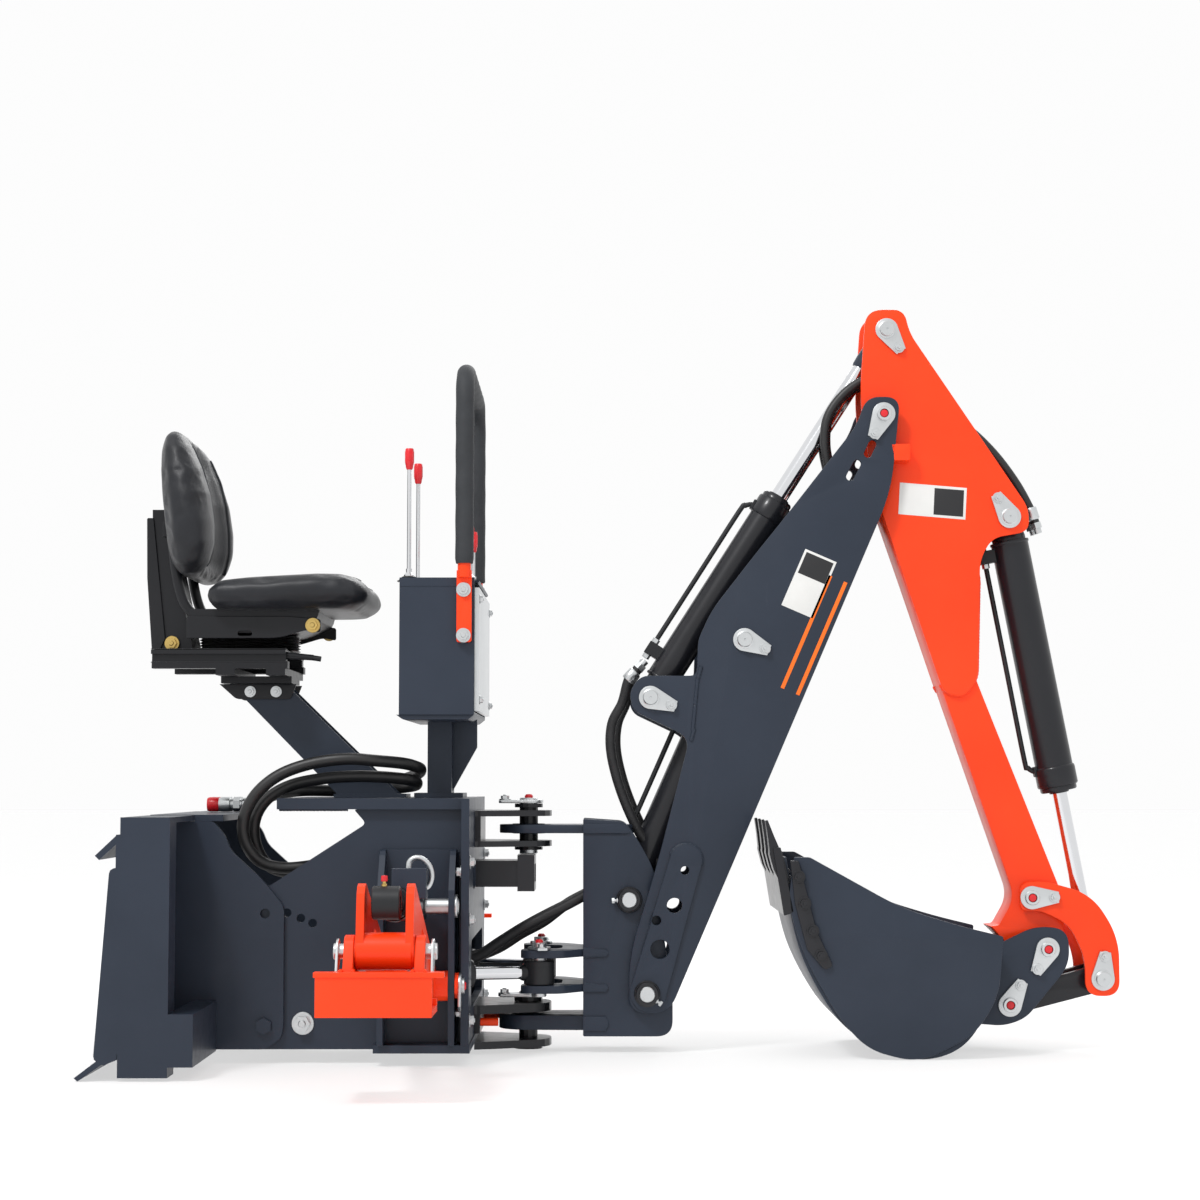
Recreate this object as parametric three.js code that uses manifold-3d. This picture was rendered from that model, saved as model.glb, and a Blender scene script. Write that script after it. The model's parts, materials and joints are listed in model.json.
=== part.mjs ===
// Backhoe attachment for a skid-steer loader: a quick-attach frame with an operator seat and
// controls, two stabilisers, a swing mast, and a boom, dipper and bucket with their cylinders.
// Millimetres, +Z up, +X towards the boom, -Y the near side. The origin is under the middle.
import * as THREE from 'three';
import { mergeVertices } from 'three/addons/utils/BufferGeometryUtils.js';
import Module from 'manifold-3d';

const wasm = await Module();
wasm.setup();

// ---- driving dimensions ----
const GAP = 0.3; // running and touching clearance
const PLATE = 12; // main plate thickness
const PIN_R = 16; // pivot pins
const HEAD_R = 25; // pin heads
const HEAD_T = 5;

// arm pivots, as [x, z] with the arm folded for transport
const BOOM_FOOT = [51, 125];
const BOOM_CYL_BASE = [14, 319];
const BOOM_CYL_ROD = [258, 866];
const DIPPER_CYL_BASE = [59, 744];
const BOOM_TIP = [556, 1347];
const DIPPER_CYL_ROD = [568, 1535];
const BUCKET_CYL_BASE = [827, 1131];
const LINK_PIVOT = [863, 323];
const BUCKET_PIVOT = [893, 216];
const LINK_END = [1010, 153];
const TIPPING_PIN = [812, 100];

// half-widths across the arm, inner and outer faces
const MAST_Y = [68, 80];
const BOOM_Y = [86, 98];
const DIPPER_Y = [50, 60];
const LINK_Y = [61, 69];
const EAR_Y = [71, 81];
const BUCKET_Y = [197, 209];
const EYE_Y = 25; // cylinder eyes

// frame
const TOP_Z = [511, 533];
const BOTTOM_Z = [26, 42];
const FRONT_X = [-326, -310];
const SIDE_Y = [257.5, 269.5];
const FRONT_HALF = 330;
const SWING_X = -200;
const SWING_PIN_R = 20;
const SWING_PIN = [-175, 100, 169]; // ear pin on the mast, far side
const SWING_BASE = [-600, 200, 169]; // its barrel eye inside the frame
const PLATE_HALF = 571.5; // universal quick-attach plate, 1143 wide
const STAB_X = -428; // middle of each stabiliser arm
const STAB_PIVOT = [330, 160]; // [y, z]
const STAB_CYL_BASE = [330, 318];
const STAB_ROD = [880, 352];
const PAD_PIN = [890, 267];
const PAD_PIN_R = 14;
const PAD_X = [-549, -320];
const LEVER_Z = 1002;

// ---- materials ----
function paint(color, roughness, metalness = 0.1) {
  return new THREE.MeshStandardMaterial({ color, roughness, metalness });
}

const GREY = paint(0x3f4651, 0.45);
const DARK = paint(0x24262b, 0.4);
const ORANGE = paint(0xf04f1c, 0.4);
const BLACK = paint(0x16171a, 0.55);
const CHROME = paint(0xd8dade, 0.12, 1);
const SHINY = paint(0xb8bcc2, 0.25, 1);
const VINYL = paint(0x17181b, 0.5, 0);
const RUBBER = paint(0x101113, 0.8, 0);

const part = new THREE.Group();

// ---- solids ----
function solid(geometry) {
  const bare = geometry.clone();
  bare.deleteAttribute('normal');
  bare.deleteAttribute('uv');
  const merged = mergeVertices(bare, 1e-4);
  const vertProperties = Float32Array.from(merged.attributes.position.array);
  const triVerts = Uint32Array.from(merged.index.array);
  return new wasm.Manifold(new wasm.Mesh({ numProp: 3, vertProperties, triVerts }));
}

function join(...pieces) {
  return pieces.reduce((whole, piece) => whole.add(piece));
}

function cut(whole, ...tools) {
  return tools.reduce((rest, tool) => rest.subtract(tool), whole);
}

function surface(body) {
  const mesh = body.getMesh();
  const geometry = new THREE.BufferGeometry();
  geometry.setAttribute('position', new THREE.BufferAttribute(mesh.vertProperties, 3));
  geometry.setIndex(new THREE.BufferAttribute(mesh.triVerts, 1));
  geometry.computeVertexNormals();
  return geometry;
}

function add(name, body, material, parent = part) {
  const mesh = new THREE.Mesh(surface(body), material);
  mesh.name = name;
  parent.add(mesh);
  return mesh;
}

function box(x, y, z) {
  const size = [x[1] - x[0], y[1] - y[0], z[1] - z[0]];
  const geometry = new THREE.BoxGeometry(...size);
  geometry.translate((x[0] + x[1]) / 2, (y[0] + y[1]) / 2, (z[0] + z[1]) / 2);
  return solid(geometry);
}

function vector(point) {
  return new THREE.Vector3(...point);
}

function bar(from, to, radius, sides = 12) {
  const start = vector(from);
  const span = vector(to).sub(start);
  const geometry = new THREE.CylinderGeometry(radius, radius, span.length(), sides);
  const direction = span.clone().normalize();
  const aim = new THREE.Quaternion().setFromUnitVectors(new THREE.Vector3(0, 1, 0), direction);
  geometry.applyQuaternion(aim);
  geometry.translate(...start.addScaledVector(span, 0.5).toArray());
  return solid(geometry);
}

// the radius of a hole whose flats clear a turning pin
function bore(radius, sides = 12) {
  return (radius + GAP) / Math.cos(Math.PI / sides);
}

// a bar along Y at an [x, z] pivot
function crossBar([x, z], radius, y, sides = 12) {
  return bar([x, y[0], z], [x, y[1], z], radius, sides);
}

// ---- outlines ----
// corners are [u, v] or [u, v, reach]; a corner with a reach is rounded by a curve that starts that
// far from it, or a little under half of a shorter edge
function outline(corners) {
  const shape = new THREE.Shape();
  const count = corners.length;
  for (let i = 0; i < count; i += 1) {
    const corner = new THREE.Vector2(corners[i][0], corners[i][1]);
    const before = new THREE.Vector2(...corners[(i + count - 1) % count].slice(0, 2)).sub(corner);
    const after = new THREE.Vector2(...corners[(i + 1) % count].slice(0, 2)).sub(corner);
    const reach = Math.min(corners[i][2] ?? 0, 0.45 * before.length(), 0.45 * after.length());
    const start = corner.clone().addScaledVector(before.normalize(), reach);
    const end = corner.clone().addScaledVector(after.normalize(), reach);
    if (i === 0) {
      shape.moveTo(start.x, start.y);
    } else {
      shape.lineTo(start.x, start.y);
    }
    if (reach > 0) {
      shape.quadraticCurveTo(corner.x, corner.y, end.x, end.y);
    }
  }
  return shape;
}

// the tight outline round several circles, each [u, v, radius]
function wrapped(circles, steps = 12) {
  const points = [];
  for (const [u, v, radius] of circles) {
    for (let i = 0; i < steps; i += 1) {
      const angle = (2 * Math.PI * i) / steps;
      points.push([u + radius * Math.cos(angle), v + radius * Math.sin(angle)]);
    }
  }
  points.sort((a, b) => a[0] - b[0] || a[1] - b[1]);
  const side = (list) => {
    const chain = [];
    for (const p of list) {
      while (chain.length > 1 && turn(chain.at(-2), chain.at(-1), p) <= 1e-6) {
        chain.pop();
      }
      chain.push(p);
    }
    chain.pop();
    return chain;
  };
  const loop = [...side(points), ...side(points.slice().reverse())];
  return outline(loop);
}

function turn(a, b, c) {
  return (b[0] - a[0]) * (c[1] - a[1]) - (b[1] - a[1]) * (c[0] - a[0]);
}

function extruded(shape, depth, curveSegments) {
  return new THREE.ExtrudeGeometry(shape, { depth, bevelEnabled: false, curveSegments });
}

// plates lying in XZ, XY and YZ, between two values of the third axis
function plateXZ(shape, y, curveSegments = 2) {
  const geometry = extruded(shape, y[1] - y[0], curveSegments);
  geometry.rotateX(Math.PI / 2);
  geometry.translate(0, y[1], 0);
  return solid(geometry);
}

function plateXY(shape, z) {
  const geometry = extruded(shape, z[1] - z[0], 2);
  geometry.translate(0, 0, z[0]);
  return solid(geometry);
}

function plateYZ(shape, x) {
  const geometry = extruded(shape, x[1] - x[0], 2);
  const alongY = new THREE.Vector3(0, 1, 0);
  const alongZ = new THREE.Vector3(0, 0, 1);
  const alongX = new THREE.Vector3(1, 0, 0);
  geometry.applyMatrix4(new THREE.Matrix4().makeBasis(alongY, alongZ, alongX));
  geometry.translate(x[0], 0, 0);
  return solid(geometry);
}

// the same plate on both sides of the middle plane
function pair(shape, halves) {
  return [plateXZ(shape, [-halves[1], -halves[0]]), plateXZ(shape, halves)];
}

// a strip of constant thickness along a run of [x, z] points, to the left of the run
function strip(points, thickness, y) {
  const left = points.map((point, i) => {
    const before = points[Math.max(i - 1, 0)];
    const after = points[Math.min(i + 1, points.length - 1)];
    const length = Math.hypot(after[0] - before[0], after[1] - before[1]);
    const normal = [-(after[1] - before[1]) / length, (after[0] - before[0]) / length];
    return [point[0] + normal[0] * thickness, point[1] + normal[1] * thickness];
  });
  return plateXZ(outline([...points, ...left.reverse()]), y);
}

function sideName(side) {
  return side < 0 ? 'near' : 'far';
}

// a [low, high] pair of distances from the middle plane, on one side of it
function onSide(side, halves) {
  return side < 0 ? [-halves[1], -halves[0]] : halves;
}

// a pin with a head on both ends
function headedPin(pivot, radius, reach) {
  const head = [reach, reach + HEAD_T];
  return join(
    crossBar(pivot, radius, [-reach - 1, reach + 1]),
    crossBar(pivot, HEAD_R, onSide(-1, head)),
    crossBar(pivot, HEAD_R, head),
  );
}

// ---- hydraulic cylinders, built along +X from the barrel's pin and then turned into place ----
function barrelBody({ radius, length, bore, eyeRadius, eyeHalf, floor }) {
  const profile = [
    [0, eyeRadius * 0.6],
    [radius * 0.7, eyeRadius * 0.6],
    [radius, eyeRadius + 14],
    [radius, length],
    [bore.gland, length],
    [bore.gland, length - 36],
    [bore.tube, length - 38],
    [bore.tube, floor],
    [0, floor],
  ];
  const points = profile.map(([r, along]) => new THREE.Vector2(r, along));
  const geometry = new THREE.LatheGeometry(points, 12);
  geometry.rotateZ(-Math.PI / 2);
  const eye = crossBar([0, 0], eyeRadius, [-eyeHalf, eyeHalf]);
  return join(solid(geometry), eye);
}

function rodBody({ radius, length, piston, eyeRadius, eyeHalf }) {
  const profile = [
    [0, -length],
    [piston, -length],
    [piston, -length + 24],
    [radius, -length + 26],
    [radius, -eyeRadius * 0.5],
    [0, -eyeRadius * 0.5],
  ];
  const points = profile.map(([r, along]) => new THREE.Vector2(r, along));
  const geometry = new THREE.LatheGeometry(points, 12);
  geometry.rotateZ(-Math.PI / 2);
  return join(solid(geometry), crossBar([0, 0], eyeRadius, [-eyeHalf, eyeHalf]));
}

// places a group at a point with its +X axis along a direction in the XZ plane
function aimXZ(from, to) {
  const group = new THREE.Group();
  group.position.set(from[0], 0, from[1]);
  group.rotation.y = -Math.atan2(to[1] - from[1], to[0] - from[0]);
  part.add(group);
  return group;
}

function armCylinder(name, base, rod, sizes) {
  const barrelFrame = aimXZ(base, rod);
  let barrel = barrelBody(sizes.barrel);
  if (sizes.trunnion) {
    barrel = join(barrel, headedPin([0, 0], PIN_R, sizes.trunnion));
  }
  add(`${name}_barrel`, barrel, DARK, barrelFrame);
  const span = Math.hypot(rod[0] - base[0], rod[1] - base[1]);
  const rodFrame = new THREE.Group();
  rodFrame.position.x = span;
  barrelFrame.add(rodFrame);
  let piston = rodBody(sizes.rod);
  if (sizes.stub) {
    piston = join(piston, crossBar([0, 0], PIN_R, [-sizes.stub, sizes.stub]));
  }
  add(`${name}_rod`, piston, CHROME, rodFrame);
}

function armCylinders() {
  armCylinder('boom_cylinder', BOOM_CYL_BASE, BOOM_CYL_ROD, {
    barrel: {
      radius: 38, length: 470, bore: { gland: 19.5, tube: 31 }, eyeRadius: 34, eyeHalf: 34, floor: 60,
    },
    rod: { radius: 19, length: 530, piston: 30, eyeRadius: 26, eyeHalf: EYE_Y },
    trunnion: MAST_Y[1],
    stub: BOOM_Y[0] - 1,
  });
  armCylinder('dipper_cylinder', DIPPER_CYL_BASE, DIPPER_CYL_ROD, {
    barrel: {
      radius: 35, length: 515, bore: { gland: 19.5, tube: 29 }, eyeRadius: 34, eyeHalf: 40, floor: 60,
    },
    rod: { radius: 19, length: 520, piston: 28, eyeRadius: 29, eyeHalf: EYE_Y },
    trunnion: BOOM_Y[1],
    stub: DIPPER_Y[0] - 1,
  });
  armCylinder('bucket_cylinder', BUCKET_CYL_BASE, LINK_END, {
    barrel: {
      radius: 40, length: 594, bore: { gland: 16.5, tube: 33 }, eyeRadius: 36, eyeHalf: 42, floor: 62,
    },
    rod: { radius: 16, length: 500, piston: 32, eyeRadius: 29, eyeHalf: EYE_Y },
    trunnion: DIPPER_Y[1],
  });
}

// ---- boom, dipper and bucket ----
function boomSides() {
  const shape = outline([
    [13, 84, 36], [97, 84, 34], [571, 1182, 60], [592, 1384, 36], [520, 1384, 36],
    [500, 1325, 20], [339, 1119, 40], [284, 1051, 40], [189, 929, 20], [160, 866, 10],
    [157, 790, 16], [38, 790, 30], [14, 756, 14], [22, 716, 14], [142, 659, 30],
    [69, 380, 80], [14, 205, 60],
  ]);
  const doubler = wrapped([[BOOM_FOOT[0] + 2, BOOM_FOOT[1] + 2, 38], [133, 402, 34]]);
  const outer = [BOOM_Y[1] - 1, BOOM_Y[1] + 8];
  return [...pair(shape, BOOM_Y), ...pair(doubler, outer)];
}

// the boom's right edge, from foot to tip
const BOOM_EDGE = { start: [104, 105], end: [571, 1182] };

function boomEdgePoint(z, inset) {
  const run = [BOOM_EDGE.end[0] - BOOM_EDGE.start[0], BOOM_EDGE.end[1] - BOOM_EDGE.start[1]];
  const length = Math.hypot(...run);
  const along = (z - BOOM_EDGE.start[1]) / run[1];
  const x = BOOM_EDGE.start[0] + along * run[0];
  return [x - (inset * run[1]) / length, z + (inset * run[0]) / length];
}

// a point beside the dipper cylinder's line, along it from its base and off to its right
function besideDipperCylinder(along, off) {
  const run = [DIPPER_CYL_ROD[0] - DIPPER_CYL_BASE[0], DIPPER_CYL_ROD[1] - DIPPER_CYL_BASE[1]];
  const length = Math.hypot(...run);
  const u = [run[0] / length, run[1] / length];
  return [DIPPER_CYL_BASE[0] + along * u[0] + off * u[1], DIPPER_CYL_BASE[1] + along * u[1] - off * u[0]];
}

function boom() {
  const inner = [-BOOM_Y[0] - 1, BOOM_Y[0] + 1];
  const frontWeb = [boomEdgePoint(235, 2), boomEdgePoint(1090, 2)];
  const backWeb = [besideDipperCylinder(300, 58), besideDipperCylinder(480, 58)];
  const reach = [-BOOM_Y[1] - 10, BOOM_Y[1] + 10];
  const lightening = [[130.8, 381, 10], [108.6, 308, 17], [70.6, 277, 10], [78, 217, 20]];
  const slot = wrapped([[488, 1216, 8], [500, 1240, 8]], 12);
  add(
    'boom',
    cut(
      join(...boomSides(), strip(frontWeb, 10, inner), strip(backWeb, 10, inner)),
      crossBar(BOOM_FOOT, bore(PIN_R), reach),
      crossBar(DIPPER_CYL_BASE, bore(PIN_R), reach),
      crossBar(BOOM_TIP, bore(PIN_R), reach),
      ...lightening.map(([x, z, r]) => crossBar([x, z], r, reach, 10)),
      plateXZ(slot, reach),
    ),
    GREY,
  );
  add('boom_foot_pin', headedPin(BOOM_FOOT, PIN_R, BOOM_Y[1] + 8 + GAP), SHINY);
  add('boom_tip_pin', headedPin(BOOM_TIP, PIN_R, BOOM_Y[1] + GAP), SHINY);
}

function dipperPlates() {
  const shape = outline([
    [524, 1579, 30], [606, 1579, 32], [618, 1528, 20], [743, 1340, 30], [869, 1150, 30],
    [869, 1100, 24], [790, 1086, 24], [764, 1040, 40], [756, 783, 24], [724, 745, 30],
    [683, 755, 20], [540, 1186, 60], [509, 1378, 40],
  ]);
  return pair(shape, [DIPPER_Y[0] - 1, DIPPER_Y[1]]);
}

function dipperBeam() {
  const end = BUCKET_PIVOT;
  const shape = outline([
    [537, 1186, 20], [830, 322, 40], [796, 264, 8], [777, 262, 4], [803, 236, 10], [858, 178, 30],
    [end[0] + 38, end[1] - 38, 34], [end[0] + 40, end[1] + 40, 30], [935, 318, 30], [771, 740],
    [643, 1075, 40], [590, 1196, 20],
  ]);
  const hollow = outline([[565, 1150, 10], [838, 355, 10], [905, 345, 10], [758, 738], [636, 1062, 30]]);
  const inside = [-DIPPER_Y[0] + 8, DIPPER_Y[0] - 8];
  const mouth = box([540, 640], inside, [1080, 1210]);
  return cut(plateXZ(shape, [-DIPPER_Y[0], DIPPER_Y[0]]), plateXZ(hollow, inside), mouth);
}

function dipper() {
  const reach = [-DIPPER_Y[1] - 40, DIPPER_Y[1] + 40];
  const edge = [[625, 1517], [743, 1337], [812, 1232]];
  const stopArm = outline([[583, 1283], [612, 1283], [612, 1248], [584, 1248]]);
  const stops = pair(stopArm, [DIPPER_Y[1] - 1, BOOM_Y[1]]);
  add(
    'dipper',
    cut(
      join(...dipperPlates(), dipperBeam(), strip(edge, -8, [-DIPPER_Y[0], DIPPER_Y[0]]), ...stops),
      crossBar(BOOM_TIP, bore(PIN_R), reach),
      crossBar(BUCKET_CYL_BASE, bore(PIN_R), reach),
      crossBar(LINK_PIVOT, bore(PIN_R), reach),
      crossBar(BUCKET_PIVOT, bore(PIN_R), reach),
    ),
    ORANGE,
  );
}

function bucketLinkage() {
  const arm = outline([
    [838, 352, 24], [890, 356, 30], [990, 330, 90], [1046, 240, 90], [1046, 117, 34],
    [974, 117, 34], [974, 200, 60], [940, 268, 60], [880, 296, 20], [838, 296, 24],
  ]);
  const stubHalves = [EYE_Y + 4, LINK_Y[1] + HEAD_T];
  const stubs = [-1, 1].map((side) => crossBar(LINK_END, PIN_R, onSide(side, stubHalves)));
  const headHalves = [LINK_Y[1] - 1, stubHalves[1]];
  const heads = [-1, 1].map((side) => crossBar(LINK_END, HEAD_R, onSide(side, headHalves), 20));
  const pivot = headedPin(LINK_PIVOT, PIN_R, LINK_Y[1]);
  add('curved_links', join(...pair(arm, LINK_Y), ...stubs, ...heads, pivot), ORANGE);

  const plates = pair(wrapped([[...LINK_END, 28], [...TIPPING_PIN, 26]]), [EYE_Y + 5, EYE_Y + 21]);
  const boss = crossBar(TIPPING_PIN, 26, [-EAR_Y[0] + 1, EAR_Y[0] - 1], 18);
  const holes = crossBar(LINK_END, bore(PIN_R), [-90, 90]);
  add('bucket_link', cut(join(...plates, boss), holes), DARK);
}

const BUCKET_RUN = [
  [336, 412], [352, 318], [382, 205], [449, 90], [525, 34], [604, 12], [668, 24], [712, 62],
  [742, 130], [762, 238],
];

function bucketSide() {
  return outline([
    [352, 412], [384, 412], [573, 307, 60], [697, 270, 40], [780, 250], [770, 130, 30],
    [720, 50, 40], [604, -7, 100], [500, 20, 60], [440, 86, 60], [372, 206, 60], [338, 318, 30],
  ]);
}

function bucket() {
  const inner = BUCKET_Y[0] - GAP;
  const earShape = outline([
    [724, 62, 10], [800, 60, 24], [842, 76, 24], [936, 186, 34], [930, 250, 34], [870, 262, 30],
    [748, 200, 10],
  ]);
  const ears = pair(earShape, EAR_Y);
  const shell = strip(BUCKET_RUN, -12, [-inner, inner]);
  const reach = [-EAR_Y[1] - 10, EAR_Y[1] + 10];
  const holes = crossBar(BUCKET_PIVOT, bore(PIN_R), reach);
  add('bucket_shell', cut(join(shell, ...ears), holes), GREY);
  for (const side of [-1, 1]) {
    add(`bucket_side_${sideName(side)}`, plateXZ(bucketSide(), onSide(side, BUCKET_Y)), GREY);
  }
  add('bucket_pivot_pin', headedPin(BUCKET_PIVOT, PIN_R, EAR_Y[1] + GAP), SHINY);
  bucketLip();
}

// the cutting edge lies outside the shell's front wall and carries the teeth
function bucketLip() {
  const edge = outline([[308, 430], [326, 430], [352, 296], [328, 292]]);
  const tooth = outline([[297, 487], [301, 487], [328, 424], [340, 350], [316, 346], [300, 400]]);
  const half = BUCKET_Y[1];
  const pitch = (2 * half - 62) / 3;
  const teeth = [0, 1, 2, 3].map((i) => {
    const middle = -half + 31 + i * pitch;
    return plateXZ(tooth, [middle - 25, middle + 25]);
  });
  const wall = strip(BUCKET_RUN, -12.6, [-half - 1, half + 1]);
  add('bucket_teeth', cut(join(plateXZ(edge, [-half, half]), ...teeth), wall), DARK);
}

// ---- swing mast ----
function mast() {
  const sides = outline([
    [-83, 34], [48, 34], [105, 83], [105, 104], [69, 379], [31, 447, 20], [5, 483, 10], [-83, 489],
  ]);
  const inner = [-MAST_Y[0] - 1, MAST_Y[0] + 1];
  const tongue = wrapped([[SWING_X, 0, 62], [-100, 0, 68.5], [-40, 0, 68.5]]);
  const ears = outline([
    [0, -68.5], [0, 68.5], [-84, 79], [-130, 134, 12], [-212, 134, 30], [-212, 72], [-128, 52],
    [-128, -52], [-212, -72], [-212, -134, 30], [-130, -134, 12], [-84, -79],
  ]);
  const swingPin = (z) => bar([SWING_X, 0, z[0]], [SWING_X, 0, z[1]], bore(SWING_PIN_R));
  const [earX, earY] = SWING_PIN;
  const earPins = [-1, 1].map((side) => bar([earX, side * earY, 100], [earX, side * earY, 240], bore(16)));
  const reach = [-100, 100];
  add(
    'swing_mast',
    cut(
      join(
        ...pair(sides, MAST_Y),
        box([-83, -71], inner, [40, 486]),
        plateXY(tongue, [458, 476]),
        plateXY(tongue, [46, 76]),
        plateXY(ears, [200, 216]),
        plateXY(ears, [127, 143]),
      ),
      box([-20, 60], [-66, 66], [440, 480]),
      swingPin([20, 100]),
      swingPin([440, 490]),
      ...earPins,
      crossBar(BOOM_FOOT, bore(PIN_R), reach),
      crossBar(BOOM_CYL_BASE, bore(PIN_R), reach),
      crossBar(BOOM_FOOT, 30, [-66, 66]),
    ),
    GREY,
  );
}

function swingCylinders() {
  for (const side of [-1, 1]) {
    const frame = new THREE.Group();
    const dx = SWING_PIN[0] - SWING_BASE[0];
    const dy = side * (SWING_PIN[1] - SWING_BASE[1]);
    frame.position.set(SWING_BASE[0], side * SWING_BASE[1], SWING_BASE[2]);
    frame.rotation.z = Math.atan2(dy, dx);
    part.add(frame);
    const barrel = swingBarrel();
    add(`swing_cylinder_barrel_${sideName(side)}`, barrel, DARK, frame);
    const rodFrame = new THREE.Group();
    rodFrame.position.x = Math.hypot(dx, dy);
    frame.add(rodFrame);
    add(`swing_cylinder_rod_${sideName(side)}`, swingRod(), SHINY, rodFrame);
  }
}

function swingBarrel() {
  const profile = [
    [0, 10], [20, 10], [30, 40], [30, 296], [26, 300], [14, 300], [14, 272], [24, 270], [24, 44], [0, 44],
  ];
  const geometry = new THREE.LatheGeometry(profile.map(([r, a]) => new THREE.Vector2(r, a)), 12);
  geometry.rotateZ(-Math.PI / 2);
  return join(solid(geometry), bar([0, 0, -25], [0, 0, 25], 28, 14));
}

function swingRod() {
  const profile = [[0, -292], [23, -292], [23, -270], [13.5, -268], [13.5, -12], [0, -12]];
  const geometry = new THREE.LatheGeometry(profile.map(([r, a]) => new THREE.Vector2(r, a)), 12);
  geometry.rotateZ(-Math.PI / 2);
  const eye = bar([0, 0, -25], [0, 0, 25], 32, 16);
  return join(solid(geometry), eye, bar([0, 0, -47], [0, 0, 54], 16), bar([0, 0, 47.5], [0, 0, 54], 24));
}

// ---- main frame ----
function frameSides() {
  const low = BOTTOM_Z[1] + GAP;
  const front = FRONT_X[0] - GAP;
  const shape = outline([
    [-736, 28], [-502, 28], [-502, low], [front, low], [front, 510.7], [-548, 510.7, 6],
    [-523, 482, 10], [-718, 356, 20], [-736, 356],
  ]);
  const window = wrapped([[-408, 396, 14], [-388, 396, 14], [-408, 372, 14], [-388, 372, 14]], 8);
  for (const side of [-1, 1]) {
    const y = onSide(side, SIDE_Y);
    const reach = [y[0] - 5, y[1] + 5];
    const holes = [[-682, 302], [-654, 291], [-630, 281]].map((at) => crossBar(at, 9, reach, 12));
    const name = `frame_side_${sideName(side)}`;
    add(name, cut(plateXZ(shape, y, 5), plateXZ(window, reach), ...holes), GREY);
  }
}

function framePlates() {
  add('frame_top_plate', box([-703, FRONT_X[0] - GAP], [-285, 285], TOP_Z), GREY);
  add('frame_bottom_plate', box([-501, -308], [-FRONT_HALF, FRONT_HALF], BOTTOM_Z), GREY);
  const front = box(FRONT_X, [-FRONT_HALF, FRONT_HALF], [BOTTOM_Z[1] + GAP, TOP_Z[1]]);
  const window = outline([[-235, 106, 20], [235, 106, 20], [235, 244, 20], [-235, 244, 20]]);
  const hoseHole = plateYZ(wrapped([[-150, 372, 28], [-110, 372, 28]]), [-330, -300]);
  add('frame_front_plate', cut(front, plateYZ(window, [-330, -300]), hoseHole), GREY);
}

function swingBracket(name, plates, webZ, pinZ) {
  const root = FRONT_X[1] + GAP;
  const shape = outline([
    [root, -112], [root, 112], [-262, 96, 30], [-160, 50, 30], [-148, 0, 40], [-160, -50, 30],
    [-262, -96, 30],
  ]);
  const pieces = plates.map((z) => plateXY(shape, z));
  const web = box([root, root + 12], [-110, 110], webZ);
  const pin = bar([SWING_X, 0, pinZ[0]], [SWING_X, 0, pinZ[1]], SWING_PIN_R, 14);
  const headZ = [[pinZ[1] - 8, pinZ[1]], [pinZ[0], pinZ[0] + 6]];
  const heads = headZ.map((z) => bar([SWING_X, 0, z[0]], [SWING_X, 0, z[1]], 30, 16));
  add(name, join(...pieces, web, pin, ...heads), DARK);
}

function swingBrackets() {
  swingBracket('swing_bracket_upper', [[494, 506], [430, 442]], [430, 506], [422, 520]);
  swingBracket('swing_bracket_lower', [[83, 101], [10, 25.5]], [43, 101], [2, 110]);
}

function hoseGuide() {
  const tube = box([-309.7, -205], [-60, 60], [345, 400]);
  const collar = box([-222, -186], [-66, 66], [336, 412]);
  const inside = box([-320, -180], [-48, 48], [353, 392]);
  add('hose_guide', cut(join(tube, collar), inside), DARK);
}

// ---- quick-attach ----
function quickAttach() {
  const face = box([-972, -960], [-PLATE_HALF, PLATE_HALF], [56, 466]);
  const topLip = outline([[-960, 466], [-970, 466], [-1012, 426], [-1004, 418], [-960, 458]]);
  const bottomLip = outline([[-960, 66], [-972, 62], [-1046, 6], [-1039, 0], [-960, 54]]);
  const wide = [-PLATE_HALF, PLATE_HALF];
  const pieces = [face, plateXZ(topLip, wide), plateXZ(bottomLip, wide)];
  for (const side of [-1, 1]) {
    const cheek = outline([[-965, 405], [-984, 400, 8], [-1010, 40, 8], [-990, 30], [-965, 40]]);
    const shield = onSide(side, [PLATE_HALF - PLATE, PLATE_HALF]);
    pieces.push(
      plateXZ(cheek, shield),
      box([-964, -869], shield, [6, 499]),
      box([-881, -869], onSide(side, [500, PLATE_HALF]), [6, 499]),
      box([-962, -870], onSide(side, [283, PLATE_HALF]), [488, 499]),
      box([-870, -821], onSide(side, [282.6, PLATE_HALF]), [26, 126]),
      box([-962, -821], onSide(side, [282.6, PLATE_HALF]), [26, 38]),
    );
  }
  const windows = [-1, 1].map((side) => box([-980, -950], onSide(side, [60, 215]), [180, 340]));
  add('quick_attach_plate', cut(join(...pieces), ...windows), GREY);
}

function adapterPlates() {
  const shape = outline([
    [-959.7, 29], [-723, 29, 10], [-690, 51, 20], [-686, 77, 12], [-687, 316, 14], [-732, 370, 20],
    [-795, 427, 30], [-807, 457, 10], [-831, 487, 10], [-959.7, 487],
  ]);
  for (const side of [-1, 1]) {
    const y = onSide(side, [270, 282]);
    const hole = crossBar([-725, 301], 10, [y[0] - 4, y[1] + 4], 14);
    const bolt = bar([-725, y[0], 76], [-725, y[1] + side, 76], 17, 6);
    const head = onSide(side, [281, 292]);
    const boltHead = crossBar([-725, 76], 17, head, 6);
    add(`adapter_plate_${sideName(side)}`, join(cut(plateXZ(shape, y, 5), hole), boltHead, bolt), GREY);
  }
  add('adapter_tray', box([-959.7, -812], [-282, 282], [487.3, 500]), GREY);
}

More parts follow.
